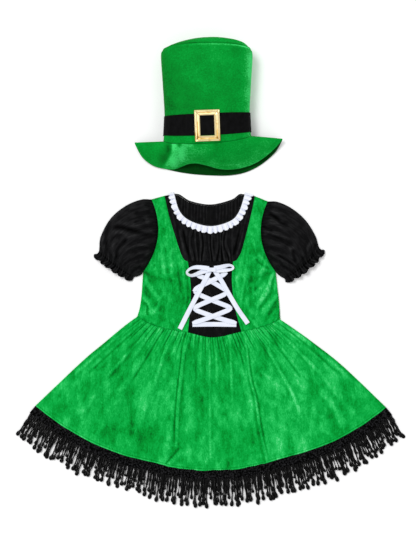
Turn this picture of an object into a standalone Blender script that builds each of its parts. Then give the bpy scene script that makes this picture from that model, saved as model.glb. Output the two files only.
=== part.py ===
# A child's leprechaun costume laid out flat: a velvet dress with a laced front, and a tall hat above it.
# Z is up from the surface, and Y runs from the hem to the hat. Sizes are in millimetres, and add_piece
# makes them metres.

import math
from collections import namedtuple

import bmesh
import bpy
import numpy as np
from mathutils import Vector
from mathutils.bvhtree import BVHTree

MM = 0.001
SHARP = math.radians(40)  # edges bent more than this are shaded sharp
CURVE_STEPS = 24  # between two given points of a smooth curve
FINE = 400  # steps along a curve that is read by its distance or its x
CLOTH = 1.5  # wall of the dress's velvet and jersey
SEAM = 0.3  # space between pieces that are sewn together
LOW = CLOTH + SEAM  # underside of the front layer where it meets the back layer

# Sizes of the dress
BODICE_LOFT = 3.2  # how far the front stands off the back down the middle
BODICE_ROUNDING = 0.7  # how roundly that falls away to the sides, and 1 is a sine
ARMHOLE_LOFT = 9.0
PANEL_BULGE = 2.5
SKIRT_LOFT = {0.0: 3.2, 0.3: 3.5, 1.0: 2.2}  # share of the way to the hem: height off the back
SKIRT_SIDE = 0.07  # share of the width over which the front comes down to the back at each side
HEM_RADIUS = 602.0
HEM_CENTRE = (4.0, 167.0)
# Where folds draw the hem up: share of the way across, how far to each side, and by how much
HemRise = namedtuple("HemRise", "across reach depth")
HEM_RISES = [HemRise(0.34, 0.07, 3.0), HemRise(0.70, 0.10, 5.5)]
GATHERS = 22
GATHER_DEPTH = 1.9
GATHER_FADE = 0.2  # share of the way down over which a gather falls to about a third
FOLD_AT_WAIST = 0.25  # height of a skirt fold at the waist, as a share of its height at the hem
YOKE_GATHERS = 10
YOKE_GATHERED = (0.27, 0.73)  # stretch of the neckline that the gathers run up to
SLEEVE_GATHERS = 7
CUFF_FLUTES = 7
CUFF_LINES = 2  # lines of the sleeve's table that have the cuff's flutes
HEAD_SPACE = 0.2  # between the armhole and the sleeve's head
HEAD_ROUNDING = 0.8
PUFF_ROUNDING = 0.62
BINDING = 3.0
BINDING_THICK = 2.0
FRILL_WIDTH = 14.0
FRILL_NARROWING = 2.0  # how much narrower it is at its ends
FRILL_THICK = 0.9
FRILL_FLUTES = 24
FRILL_SCALLOP = 1.2
FRILL_CLEAR = 0.5  # space under its inner edge
FRILL_REACH = 4.0  # how far round a point the frill clears what is under it
ZIP_WIDTH = 14.5
ZIP_THICK = 1.0
ZIP_ENDS = (142.0, -60.0)
RIBBON = 10.0
RIBBON_THICK = 0.8
BOW_WALL = 2.4
BOW_HEIGHT = 4.5
KNOT_SIZE = (13.0, 11.0, 5.0)
KNOT_ROUNDING = 1.6
BRAID = 20.0
BRAID_THICK = 1.4
FRONT_BRAID_SPACE = 0.5  # between the back layer's height and the front braid, where the hem has no fold
BACK_BRAID_SPACE = 0.4  # under the back braid
FRONT_STRANDS, FRONT_STRAND_SPACE = 66, 3.8
BACK_STRANDS, BACK_STRAND_SPACE = 38, 0.4
STRAND_LENGTH = 60.0
STRAND_UNEVEN = 2.5
STRAND_SHARE = 0.36  # width of a strand's root as a share of the way to the next
STRAND_LEAN = 0.72  # how far a strand leans outwards, as a share of the radius's own lean

# Sizes of the hat, which lies on its back, its mouth towards the dress
HAT_AT = (-6.0, 290.0)
HAT_WALL = 3.0
HAT_SQUARENESS = 2.6  # 2 is an ellipse, and more is fuller at its shoulders
BRIM_FORWARD = 2.2  # from the crown's mouth to the middle of the brim's wall at the seam
BRIM_CLEAR = 3.5  # least height of that middle line at the seam
BRIM_RISE = 7.0
BRIM_RINGS = (0.35, 0.7)  # rings between the seam and the edge, as shares of the way
BRIM_FLAT = 2.5  # how soon the back half comes down flat, going round
BAND_THICK = 1.5
BAND_GAP = 0.4
BUCKLE = (54.0, 67.0)
BUCKLE_AT = (0.0, 25.0)
BUCKLE_TURN = math.radians(2.0)

# Outlines of the dress, as x and y
WAIST_LEFT, WAIST_RIGHT = (-160.0, -98.5), (154.0, -104.5)
EDGE_LEFT, EDGE_RIGHT = (-48.5, -133.5), (69.0, -131.5)  # where the insert's sides meet the waist
BUST_LEFT, BUST_RIGHT = (-48.5, 23.0), (50.5, 23.0)
WAIST = [
    WAIST_LEFT, (-133.0, -114.2), (-95.5, -125.8), EDGE_LEFT, (6.5, -144.2), EDGE_RIGHT, (107.0, -123.2),
    (134.7, -114.2), WAIST_RIGHT,
]
SIDES = {
    "left": [WAIST_LEFT, (-154.2, -78.0), (-150.2, -48.0), (-147.0, 0.5)],
    "right": [WAIST_RIGHT, (151.5, -66.0), (147.5, -31.0), (144.0, 0.5)],
}
FRONT_EDGES = {
    "left": [EDGE_LEFT, (-44.0, -84.0), (-42.0, -33.0), BUST_LEFT],
    "right": [EDGE_RIGHT, (55.0, -79.0), (48.0, -22.0), BUST_RIGHT],
}
V_EDGES = {
    "left": [
        BUST_LEFT, (-55.5, 26.0), (-61.0, 34.0), (-66.0, 46.2), (-78.7, 85.8), (-90.5, 125.4),
        (-100.2, 167.5),
    ],
    "right": [
        BUST_RIGHT, (57.5, 25.5), (63.3, 33.5), (69.4, 46.2), (79.8, 84.0), (90.0, 125.4), (98.8, 166.5),
    ],
}
NECK_LEFT, NECK_RIGHT = (-76.5, 172.0), (74.0, 171.0)
NECK_FRONT = [
    NECK_LEFT, (-64.0, 136.0), (-41.0, 115.0), (1.5, 104.0), (43.0, 115.0), (61.5, 136.0), NECK_RIGHT,
]
NECK_BACK = [
    NECK_LEFT, (-66.0, 170.0), (-42.0, 156.0), (1.5, 148.5), (46.0, 158.8), (64.5, 171.0), NECK_RIGHT,
]
FRILL_LINE = [(-76.5, 177.0), *NECK_FRONT[1:-1], (74.5, 176.5)]
SKIRT_SIDES = {
    "left": [WAIST_LEFT, (-188.5, -119.5), (-231.5, -155.0), (-283.0, -198.5), (-383.5, -293.8)],
    "right": [WAIST_RIGHT, (188.4, -128.2), (225.5, -154.8), (291.2, -206.4), (387.0, -297.5)],
}
BACK_MIDDLE = 1.5

# The shoulder end and the underarm end of each armhole, and how far it curves in towards the body
Armhole = namedtuple("Armhole", "shoulder underarm bow")
ARMHOLES = {
    "left": Armhole((-128.5, 159.5), (-147.0, 0.5), 23.5),
    "right": Armhole((126.5, 155.0), (144.0, 0.5), -23.5),
}

# Lines across each sleeve, from the armhole to the edge of the cuff's frill
Line = namedtuple("Line", "outer inner bow loft gathers")
SLEEVES = {
    "left": [
        Line((-152.0, 159.0), (-151.0, -5.5), 17.0, 27.0, 1.6),
        Line((-186.0, 145.0), (-155.0, -8.0), 9.0, 36.0, 0.6),
        Line((-219.0, 117.0), (-159.0, -9.5), 2.0, 37.0, 0.0),
        Line((-240.5, 77.0), (-163.0, -10.5), -4.0, 29.0, 0.8),
        Line((-244.5, 45.0), (-167.0, -12.0), -3.0, 13.0, 1.4),
        Line((-257.0, 36.5), (-173.0, -21.0), -4.0, 15.0, 3.0),
    ],
    "right": [
        Line((149.0, 154.0), (149.0, -5.0), -16.0, 27.0, 1.6),
        Line((179.5, 140.0), (152.5, -8.0), -9.0, 36.0, 0.6),
        Line((209.5, 114.5), (156.0, -10.5), -2.0, 37.0, 0.0),
        Line((231.5, 80.0), (159.5, -12.5), 5.0, 29.0, 0.8),
        Line((240.5, 53.0), (163.5, -14.5), 6.0, 13.0, 1.4),
        Line((253.5, 46.5), (168.5, -24.5), 8.0, 15.0, 3.0),
    ],
}

# Soft folds down the skirt, as shares of the way across and sizes at the hem
SkirtFold = namedtuple("SkirtFold", "across width height")
SKIRT_FOLDS = [
    SkirtFold(0.09, 0.020, 2.5),
    SkirtFold(0.18, 0.022, 3.0),
    SkirtFold(0.275, 0.020, 2.5),
    SkirtFold(0.375, 0.016, 4.5),
    SkirtFold(0.48, 0.022, 2.5),
    SkirtFold(0.57, 0.020, 2.5),
    SkirtFold(0.655, 0.014, 4.5),
    SkirtFold(0.75, 0.022, 3.0),
    SkirtFold(0.84, 0.020, 2.5),
    SkirtFold(0.925, 0.018, 3.0),
]

# Stretches of ribbon across the laced front, and the layer that each lies in
Stretch = namedtuple("Stretch", "name start end layer")
STRETCHES = [
    Stretch("lace_bar", (-39.0, -116.0), (59.0, -116.0), 0),
    Stretch("lace_rising_left_1", (57.0, -111.0), (-35.5, -78.0), 1),
    Stretch("lace_rising_left_2", (47.5, -78.5), (-35.5, -43.0), 1),
    Stretch("lace_rising_left_3", (37.0, -43.5), (-26.0, -9.0), 1),
    Stretch("lace_rising_right_1", (-38.0, -111.0), (47.5, -78.0), 2),
    Stretch("lace_rising_right_2", (-35.0, -78.5), (37.0, -43.0), 2),
    Stretch("lace_rising_right_3", (-36.0, -43.5), (34.0, -4.0), 2),
    Stretch("lace_tail_left", (-2.0, -1.0), (-65.5, -125.0), 3),
    Stretch("lace_tail_right", (10.0, -1.0), (84.0, -114.0), 3),
]
KNOT = (3.5, 5.0)
BOW_LOOPS = {
    "left": [
        (-4.0, 9.0), (-26.0, 15.5), (-47.0, 9.0), (-52.0, -1.0), (-41.0, -9.5), (-20.0, -2.5), (-4.0, 2.5),
    ],
    "right": [
        (11.0, 2.5), (28.0, 1.0), (44.0, 4.0), (52.0, 11.5), (47.0, 17.5), (30.0, 13.0), (11.0, 9.0),
    ],
}

# Share of a strand's length, half width, and half thickness at each section of it
Twist = namedtuple("Twist", "at half_width half_thick")
STRAND = [
    Twist(0.1, 0.7, 0.6),
    Twist(0.38, 2.1, 1.1),
    Twist(0.62, 0.7, 0.6),
    Twist(0.89, 3.2, 1.5),
    Twist(1.0, 1.0, 0.8),
]
DROP_THICK = max(twist.half_thick for twist in STRAND)

# Sections of the crown from mouth to top. y and half_width are from HAT_AT, dip is how far the section's
# front and back sink towards the mouth, and tilt is how much further its right side is from the mouth.
Section = namedtuple("Section", "y half_width floor height dip tilt")
CROWN = [
    Section(0.8, 95.5, 2.2, 71.0, 11.8, 0.064),
    Section(10.5, 94.5, 2.2, 73.0, 6.0, 0.042),
    Section(51.5, 92.5, 2.0, 76.5, 0.0, 0.042),
    Section(118.0, 96.0, 1.0, 82.0, -1.0, 0.02),
    Section(176.0, 99.5, 0.3, 87.0, -3.0, 0.01),
    Section(193.0, 97.5, 0.0, 88.0, -10.3, 0.01),
]
BAND_SECTIONS = CROWN[1:3]  # the band lies between these

# Rings of the dome on the crown's end: the share of the seam's size, how far past the seam, and the tilt
DomeRing = namedtuple("DomeRing", "share rise tilt")
DOME = [
    DomeRing(1.0, SEAM, 0.0),
    DomeRing(0.92, 4.0, 0.01),
    DomeRing(0.72, 13.5, 0.036),
    DomeRing(0.4, 21.0, 0.036),
]

# The brim's edge, going round from the right-hand side over the front to the left and back under the hat
Edge = namedtuple("Edge", "angle x y z")
BRIM_EDGE = [
    Edge(0, 164.0, -0.6, 19.0),
    Edge(12, 158.3, -7.3, 18.0),
    Edge(26, 138.5, -27.5, 15.0),
    Edge(40, 108.7, -48.8, 13.0),
    Edge(53, 79.3, -60.4, 14.0),
    Edge(65, 52.0, -65.0, 16.0),
    Edge(76, 26.5, -64.0, 21.0),
    Edge(86, 1.5, -57.5, 28.0),
    Edge(95, -21.5, -52.5, 31.0),
    Edge(103, -40.0, -53.0, 26.0),
    Edge(111, -54.0, -57.5, 15.0),
    Edge(122, -73.0, -63.5, 5.2),
    Edge(135, -93.5, -62.5, 5.2),
    Edge(150, -119.0, -55.5, 7.0),
    Edge(165, -142.5, -37.5, 12.0),
    Edge(180, -158.5, -8.0, 18.0),
    Edge(196, -141.0, -38.5, 5.0),
    Edge(214, -112.0, -56.5, 1.5),
    Edge(234, -78.0, -67.0, 1.5),
    Edge(254, -38.0, -74.0, 1.5),
    Edge(272, 7.0, -77.5, 1.5),
    Edge(290, 50.0, -77.5, 1.5),
    Edge(308, 85.0, -70.5, 1.5),
    Edge(328, 117.5, -54.5, 1.5),
    Edge(346, 149.0, -27.5, 6.0),
]

# Colours are linear, and rough is from 0 for a mirror to 1
Finish = namedtuple("Finish", "colour rough metal")
FINISHES = {
    "green_velvet": Finish((0.0, 0.33, 0.05), 0.75, 0.0),
    "black_jersey": Finish((0.008, 0.008, 0.008), 0.8, 0.0),
    "white_lace": Finish((0.85, 0.86, 0.9), 0.8, 0.0),
    "white_ribbon": Finish((0.82, 0.86, 0.95), 0.4, 0.0),
    "black_fringe": Finish((0.01, 0.01, 0.01), 0.5, 0.0),
    "black_ribbon": Finish((0.008, 0.008, 0.009), 0.5, 0.0),
    "gold_plastic": Finish((0.72, 0.52, 0.22), 0.3, 0.6),
}


def clear_scene():
    for thing in list(bpy.data.objects):
        bpy.data.objects.remove(thing)


def finish_of(name):
    """The material of that name, made the first time that it is asked for."""
    known = bpy.data.materials.get(name)
    if known:
        return known
    finish = FINISHES[name]
    material = bpy.data.materials.new(name)
    material.use_nodes = True
    shader = material.node_tree.nodes["Principled BSDF"]
    shader.inputs["Base Color"].default_value = (*finish.colour, 1.0)
    shader.inputs["Roughness"].default_value = finish.rough
    shader.inputs["Metallic"].default_value = finish.metal
    return material


def add_piece(name, form, finish, parent):
    """A named object in metres, from a bmesh in millimetres."""
    bmesh.ops.scale(form, vec=(MM, MM, MM), verts=form.verts)
    bmesh.ops.recalc_face_normals(form, faces=form.faces)
    mesh = bpy.data.meshes.new(name)
    form.to_mesh(mesh)
    form.free()
    mesh.materials.append(finish_of(finish))
    mesh.shade_smooth()
    mesh.set_sharp_from_angle(angle=SHARP)
    piece = bpy.data.objects.new(name, mesh)
    piece.parent = parent
    bpy.context.scene.collection.objects.link(piece)
    return piece


def add_empty(name, x, y):
    empty = bpy.data.objects.new(name, None)
    empty.location = (x * MM, y * MM, 0.0)
    bpy.context.scene.collection.objects.link(empty)
    return empty


# Curves and surfaces


def shares(count):
    return np.linspace(0.0, 1.0, count + 1)


def smooth(points, at):
    """Points at those shares of the length of a smooth curve through the given points."""
    knots = np.array(points, float)
    knots = np.vstack([2 * knots[0] - knots[1], knots, 2 * knots[-1] - knots[-2]])
    fine = []
    for before, start, end, after in zip(knots, knots[1:], knots[2:], knots[3:]):
        for t in np.linspace(0.0, 1.0, CURVE_STEPS, endpoint=False):
            fine.append(
                start
                + 0.5 * t * (end - before)
                + 0.5 * t**2 * (2 * before - 5 * start + 4 * end - after)
                + 0.5 * t**3 * (3 * start - before - 3 * end + after)
            )
    fine = np.array(fine + [knots[-2]])
    along = np.r_[0.0, np.cumsum(np.linalg.norm(np.diff(fine, axis=0), axis=1))]
    where = np.asarray(at) * along[-1]
    return np.stack([np.interp(where, along, fine[:, k]) for k in range(fine.shape[1])], axis=1)


def curved_line(start, end, bow, at):
    """A line from start to end that bows to its left in the middle."""
    start, end = np.array(start), np.array(end)
    along = end - start
    normal = np.array([-along[1], along[0]]) / np.linalg.norm(along)
    at = np.asarray(at)[:, None]
    return start + at * along + bow * 4 * at * (1 - at) * normal


def arch(at, power=1.0):
    """From 0 at either end to 1 in the middle."""
    return np.sin(np.pi * np.clip(at, 0.0, 1.0)) ** power


def lifted(line, heights):
    """Points in plan with those heights above LOW."""
    return np.column_stack([line, LOW + np.broadcast_to(heights, len(line))])


def joined(*lines):
    """Lines that follow on, with the points that they share kept once."""
    return np.vstack([lines[0]] + [line[1:] for line in lines[1:]])


def side_normals(line):
    """Unit vectors in plan, to the left of a line's direction."""
    along = np.gradient(line[:, :2], axis=0)
    along /= np.linalg.norm(along, axis=1)[:, None]
    return np.column_stack([-along[:, 1], along[:, 0]])


def beside(line, distance):
    """The line moved to its left in plan."""
    moved = np.array(line, float)
    moved[:, :2] += distance * side_normals(moved)
    return moved


def patch(bottom, top, left, right, up):
    """Rows of points in the space between four edges; up gives the share of the way up of each row."""
    u = shares(len(bottom) - 1)[None, :, None]
    v = np.asarray(up)[:, None, None]
    sideways = (1 - u) * left[:, None] + u * right[:, None]
    upwards = (1 - v) * bottom[None] + v * top[None]
    corners = (1 - v) * ((1 - u) * bottom[0] + u * bottom[-1]) + v * ((1 - u) * top[0] + u * top[-1])
    return sideways + upwards - corners


def parted(rows, by=SEAM / 2):
    """The rows with their outer edges drawn in, so that a neighbour on the same edge is SEAM away."""
    moved = rows.copy()
    for edge, inner in (((0, slice(None)), (1, slice(None))), ((-1, slice(None)), (-2, slice(None))),
                        ((slice(None), 0), (slice(None), 1)), ((slice(None), -1), (slice(None), -2))):
        normal = side_normals(rows[edge])
        towards = (rows[inner] - rows[edge])[:, :2]
        normal *= np.sign((normal * towards).sum(axis=1))[:, None]
        moved[edge][:, :2] += by * normal
    return moved


def sheet(rows):
    """A bmesh of a sheet of quads through rows of points."""
    form = bmesh.new()
    down, across = rows.shape[:2]
    bmesh.ops.create_grid(form, x_segments=across - 1, y_segments=down - 1, size=1.0)
    for vert, point in zip(form.verts, rows.reshape(-1, 3)):
        vert.co = point
    return form


def wall(rows, thickness=CLOTH):
    """A bmesh of a cloth wall that stands on rows of points and is that thick upwards."""
    form = sheet(rows)
    upper = bmesh.ops.extrude_face_region(form, geom=form.faces[:])["geom"]
    lifted_verts = [part for part in upper if isinstance(part, bmesh.types.BMVert)]
    bmesh.ops.translate(form, vec=(0.0, 0.0, thickness), verts=lifted_verts)
    return form


def welded_rings(rings, capped=False):
    """A closed skin over rings of points, the last joined to the first, or each end filled."""
    rings = list(rings) if capped else [*rings, rings[0]]
    form = sheet(np.array([np.vstack([ring, ring[:1]]) for ring in rings]))
    bmesh.ops.remove_doubles(form, verts=form.verts, dist=0.001)
    if capped:
        bmesh.ops.holes_fill(form, edges=form.edges)
    return form


def hollow(outer, inner, capped=False):
    """A wall between two sets of rings, open at both ends, or closed at the last ring of each."""
    return welded_rings([*reversed(inner), *outer], capped)


# The dress's front layer


def waist_part(start, end, at):
    """The stretch of the waist seam between two values of x, evenly spaced across."""
    line = smooth(WAIST, shares(FINE))
    x = start + np.asarray(at) * (end - start)
    return np.column_stack([x, np.interp(x, line[:, 0], line[:, 1])])


def armhole(side, at):
    """The armhole's line in plan, from the underarm to the shoulder."""
    hole = ARMHOLES[side]
    across = 1.0 - np.asarray(at)
    return curved_line(hole.shoulder, hole.underarm, hole.bow, across)


SIDE_ROWS, ARMHOLE_ROWS = 5, 14
EDGE_ROWS, V_ROWS = 7, 12
PANEL_COLUMNS = 6


def strap_edge(side, at):
    """A strap's inner edge from the bust to the shoulder, where it comes down to the back layer."""
    return lifted(smooth(V_EDGES[side], at), BODICE_LOFT * np.cos(np.pi / 2 * at) ** BODICE_ROUNDING)


def front_side(side):
    """A front side panel with its shoulder strap, as rows from the waist up."""
    at = shares(ARMHOLE_ROWS)
    outer = joined(
        lifted(smooth(SIDES[side], shares(SIDE_ROWS)), 0.0),
        lifted(armhole(side, at), ARMHOLE_LOFT * arch(at, HEAD_ROUNDING)),
    )
    inner = joined(
        lifted(smooth(FRONT_EDGES[side], shares(EDGE_ROWS)), BODICE_LOFT),
        strap_edge(side, shares(V_ROWS)),
    )
    across = shares(PANEL_COLUMNS)
    waist = waist_part(SIDES[side][0][0], FRONT_EDGES[side][0][0], across)
    bottom = lifted(waist, BODICE_LOFT * np.sin(np.pi / 2 * across) ** BODICE_ROUNDING)
    top = lifted(np.linspace(outer[-1, :2], inner[-1, :2], len(across)), 0.0)
    up = shares(len(outer) - 1)
    rows = patch(bottom, top, outer, inner, up)
    rows[..., 2] += PANEL_BULGE * np.outer(arch(up), arch(across))
    return rows


YOKE_COLUMNS = 4 * YOKE_GATHERS
YOKE_ROWS = 3
YOKE_EVENNESS = 0.3  # 0 would make the outermost gathers as deep as the middle ones
YOKE_FADE = 0.75  # how much of a gather's depth is gone at the neckline


def panel_neck(points, at, aside=-BINDING - SEAM):
    """A neckline's points where the cloth meets the binding, or as far to its left as aside says."""
    fine = shares(FINE)
    line = beside(smooth(points, fine), aside)
    return np.stack([np.interp(at, fine, line[:, k]) for k in range(2)], axis=1)


def front_yoke():
    """The gathered black front between the straps, as rows from its outer seam to the neckline."""
    strap = shares(V_ROWS)
    base = np.linspace(BUST_LEFT, BUST_RIGHT, YOKE_COLUMNS + 1)
    outer = joined(
        strap_edge("left", strap)[::-1],
        lifted(base, BODICE_LOFT),
        strap_edge("right", strap),
    )
    ends = (0.0, *YOKE_GATHERED, 1.0)
    counts = (V_ROWS, YOKE_COLUMNS, V_ROWS)
    stretches = [np.linspace(start, end, count + 1) for start, end, count in zip(ends, ends[1:], counts)]
    share_of_neck = np.concatenate([stretches[0], stretches[1][1:], stretches[2][1:]])
    neck = lifted(
        panel_neck(NECK_FRONT, share_of_neck), BODICE_LOFT * arch(share_of_neck, BODICE_ROUNDING)
    )
    up = shares(YOKE_ROWS)
    rows = (1 - up)[:, None, None] * outer[None] + up[:, None, None] * neck[None]
    gathered = np.zeros(len(outer))
    turns = YOKE_GATHERS * shares(YOKE_COLUMNS)
    gathered[V_ROWS:-V_ROWS] = np.cos(2 * np.pi * turns) * arch(shares(YOKE_COLUMNS), YOKE_EVENNESS)
    rows[..., 2] += np.outer(1.0 - YOKE_FADE * up, gathered)
    return rows


INSERT_COLUMNS = 8


def front_insert():
    """The flat black panel under the lacing."""
    up, across = shares(EDGE_ROWS), shares(INSERT_COLUMNS)
    left = lifted(smooth(FRONT_EDGES["left"], up), BODICE_LOFT)
    right = lifted(smooth(FRONT_EDGES["right"], up), BODICE_LOFT)
    bottom = lifted(waist_part(EDGE_LEFT[0], EDGE_RIGHT[0], across), BODICE_LOFT)
    top = np.linspace(left[-1], right[-1], len(across))
    return patch(bottom, top, left, right, up)


SKIRT_ROWS = (0.0, 0.07, 0.18, 0.38, 0.66, 1.0)
SIDE_ROUNDING = 0.9


def hem_line(at, beyond=0.0):
    """The hem between the skirt's corners, or a line as far past it."""
    at = np.asarray(at)
    centre = np.array(HEM_CENTRE)
    corners = [np.array(SKIRT_SIDES[side][-1]) - centre for side in ("left", "right")]
    ends = [math.atan2(*corner) % (2 * math.pi) for corner in corners]
    angle = ends[0] + at * (ends[1] - ends[0])
    drawn_up = sum(rise.depth * np.exp(-(((at - rise.across) / rise.reach) ** 2)) for rise in HEM_RISES)
    radius = HEM_RADIUS + beyond - drawn_up
    return centre + radius[:, None] * np.column_stack([np.sin(angle), np.cos(angle)])


def skirt_loft(across, down):
    """How high the front of the skirt stands off its back."""
    from_side = np.minimum(across, 1 - across) / SKIRT_SIDE
    rise = arch(np.clip(from_side, 0, 1) / 2, SIDE_ROUNDING)
    body = np.interp(down, list(SKIRT_LOFT), list(SKIRT_LOFT.values()))
    gathers = GATHER_DEPTH * np.cos(2 * np.pi * GATHERS * across) * math.exp(-down / GATHER_FADE)
    growth = FOLD_AT_WAIST + (1 - FOLD_AT_WAIST) * down
    folds = sum(
        fold.height * growth * np.exp(-(((across - fold.across) / fold.width) ** 2)) for fold in SKIRT_FOLDS
    )
    return rise * (body + gathers + folds)


def skirt_plan(across, down):
    """The skirt's rows in plan, from the waist to the hem."""
    left, right = (smooth(SKIRT_SIDES[side], down) for side in ("left", "right"))
    return patch(smooth(WAIST, across), hem_line(across), left, right, down)


def skirt_front():
    across = shares(4 * GATHERS)
    plan = skirt_plan(across, SKIRT_ROWS)
    loft = np.array([skirt_loft(across, down) for down in SKIRT_ROWS])
    return np.dstack([plan, LOW + loft])


# The dress's back layer, which lies flat on the surface


BACK_COLUMNS = 3
NECK_BACK_SHARES = shares(16)
SKIRT_BACK_COLUMNS, SKIRT_BACK_ROWS = 32, 2


def flat(rows):
    """Points in plan, on the surface."""
    return np.dstack([rows, np.zeros(rows.shape[:2])])


def back_side(side):
    outer = joined(smooth(SIDES[side], shares(SIDE_ROWS)), armhole(side, shares(ARMHOLE_ROWS)))
    inner = joined(smooth(FRONT_EDGES[side], shares(EDGE_ROWS)), smooth(V_EDGES[side], shares(V_ROWS)))
    across = shares(BACK_COLUMNS)
    waist = waist_part(outer[0, 0], inner[0, 0], across)
    top = np.linspace(outer[-1], inner[-1], len(across))
    return flat(patch(waist, top, outer, inner, shares(len(outer) - 1)))


def back_centre(side):
    """Half of the black back, from the side panel to the middle opening."""
    outer = joined(smooth(FRONT_EDGES[side], shares(EDGE_ROWS)), smooth(V_EDGES[side], shares(V_ROWS)))
    half = NECK_BACK_SHARES[: len(NECK_BACK_SHARES) // 2 + 1]
    half = half if side == "left" else 1.0 - half
    neck = panel_neck(NECK_BACK, half)
    neck[-1, 0] = BACK_MIDDLE
    top = joined(np.linspace(outer[-1], neck[0], 2), neck)
    waist = waist_part(outer[0, 0], BACK_MIDDLE, shares(len(top) - 1))
    middle = np.linspace(waist[-1], top[-1], len(outer))
    return flat(patch(waist, top, outer, middle, shares(len(outer) - 1)))


def skirt_back():
    return flat(skirt_plan(shares(SKIRT_BACK_COLUMNS), shares(SKIRT_BACK_ROWS)))


# Sleeves


FRONT_STEPS = 4 * SLEEVE_GATHERS
BACK_STEPS = 7
GATHER_EVENNESS = 0.5  # 0 would make the gathers at a sleeve's sides as deep as the middle ones


def under_ring(under, height):
    return np.column_stack([under, np.full(len(under), height)])


def drawn_in(line, share):
    """The line made smaller in plan, about its middle."""
    middle = line.mean(axis=0)
    return middle + share * (line - middle)


def sleeve_rings(side):
    """The outer and inner rings of a puffed sleeve, from its armhole to its frilled cuff."""
    front, back = shares(FRONT_STEPS), shares(BACK_STEPS)[::-1]
    hole = ARMHOLES[side]
    away = -HEAD_SPACE if side == "left" else HEAD_SPACE
    lines = [Line(hole.shoulder, hole.underarm, hole.bow, ARMHOLE_LOFT, 0.0), *SLEEVES[side]]
    outer, inner = [], []
    for number, line in enumerate(lines):
        over = curved_line(line.outer, line.inner, line.bow, front)
        under = curved_line(line.outer, line.inner, line.bow, back)
        head = number == 0
        if head:
            over[:, 0] += away
            under[:, 0] += away
        flutes = SLEEVE_GATHERS if number < len(lines) - CUFF_LINES else CUFF_FLUTES
        waves = line.gathers * np.cos(2 * np.pi * flutes * front) * arch(front, GATHER_EVENNESS)
        height = LOW + line.loft * arch(front, HEAD_ROUNDING if head else PUFF_ROUNDING) + waves
        ring = np.vstack([np.column_stack([over, height + CLOTH]), under_ring(under, 0.0)])
        share = 1.0 - 2 * CLOTH / math.dist(line.outer, line.inner)
        lining = np.vstack(
            [np.column_stack([drawn_in(over, share), height]), under_ring(drawn_in(under, share), CLOTH)]
        )
        if head:
            # At the armhole both rings lie on the same line, and the inner one is only shorter.
            lining[:, :2] = ring[:, :2]
            for end in (0, FRONT_STEPS, FRONT_STEPS + 1, -1):
                at_shoulder = lining[end, 1] > (hole.shoulder[1] + hole.underarm[1]) / 2
                lining[end, 1] += -2 * CLOTH if at_shoulder else 2 * CLOTH
        outer.append(ring)
        inner.append(lining)
    return outer, inner


# Trimmings


class Surface:
    """The heights of pieces that others lie on."""

    def __init__(self, pieces):
        corners, faces = [], []
        for piece in pieces:
            first = len(corners)
            corners += [piece.matrix_world @ v.co for v in piece.data.vertices]
            faces += [[first + v for v in face.vertices] for face in piece.data.polygons]
        self.tree = BVHTree.FromPolygons(corners, faces)

    def top(self, x, y, spread=0.0):
        """The highest point under (x, y), or within that distance of it to each side."""
        heights = [LOW + CLOTH]
        for right in (-spread, 0.0, spread):
            for above in (-spread, 0.0, spread):
                over = Vector(((x + right) * MM, (y + above) * MM, 1.0))
                hit = self.tree.ray_cast(over, Vector((0.0, 0.0, -1.0)))[0]
                if hit:
                    heights.append(hit.z / MM)
        return max(heights)


def strip(line, width, heights):
    """Rows of points for a flat ribbon along a line in plan."""
    left, right = beside(line, width / 2), beside(line, -width / 2)
    rows = np.stack([left, right], axis=1)
    return np.dstack([rows, np.broadcast_to(np.asarray(heights)[:, None], rows.shape[:2])])


RIBBON_POINTS = 7
FLUTE_POINTS = 3  # columns of the frill to each of its flutes
LOOP_POINTS = 16


def laid_ribbon(start, end, layer, surface):
    """A straight ribbon that rests on a surface, above as many layers of ribbon."""
    line = np.linspace(start, end, RIBBON_POINTS)
    sides = np.stack([line, beside(line, RIBBON / 2), beside(line, -RIBBON / 2)])
    tops = np.array([[surface.top(x, y) for x, y in side] for side in sides]).max(axis=0)
    lift = SEAM + layer * (RIBBON_THICK + SEAM)
    return wall(strip(line, RIBBON, tops + lift), RIBBON_THICK)


def frill(surface):
    """White lace gathered round the front of the neck, lying on the yoke."""
    columns = shares(FLUTE_POINTS * FRILL_FLUTES)
    neck = smooth(FRILL_LINE, columns)
    phase = 2 * np.pi * FRILL_FLUTES * columns
    rows = []
    for share in (0.0, 0.5, 1.0):
        scallop = FRILL_SCALLOP * share * np.cos(phase)
        width = FRILL_WIDTH - FRILL_NARROWING * 2 * np.abs(columns - 0.5)
        out = BINDING + 2 * SEAM + share * width + scallop
        line = neck - side_normals(neck) * out[:, None]
        clear = FRILL_CLEAR + share * (1.0 + np.cos(phase))
        tops = np.array([surface.top(x, y, FRILL_REACH) for x, y in line])
        rows.append(np.column_stack([line, tops + clear]))
    return wall(np.array(rows[::-1]), FRILL_THICK)


def bow_loop(points, floor):
    """A ring of ribbon on its edge, closed against the knot."""
    line = smooth(points, shares(LOOP_POINTS))
    rows = strip(line, BOW_WALL, np.full(len(line), floor))
    return wall(rows, BOW_HEIGHT)


def knot(floor):
    """The lacing's knot, a rounded lump across both ribbons."""
    form = bmesh.new()
    bmesh.ops.create_cube(form, size=1.0)
    bmesh.ops.scale(form, vec=KNOT_SIZE, verts=form.verts)
    bmesh.ops.bevel(
        form, geom=form.edges[:], offset=KNOT_ROUNDING, segments=1, profile=0.5, affect="EDGES", material=-1
    )
    bmesh.ops.translate(form, vec=(*KNOT, floor + KNOT_SIZE[2] / 2), verts=form.verts)
    return form


# The fringe


LENGTH_BEAT = 2.4  # radians from one strand to the next in the pattern of their lengths
TOUCHING = 0.1  # points of a strand's root closer than this in plan are above one another


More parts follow.
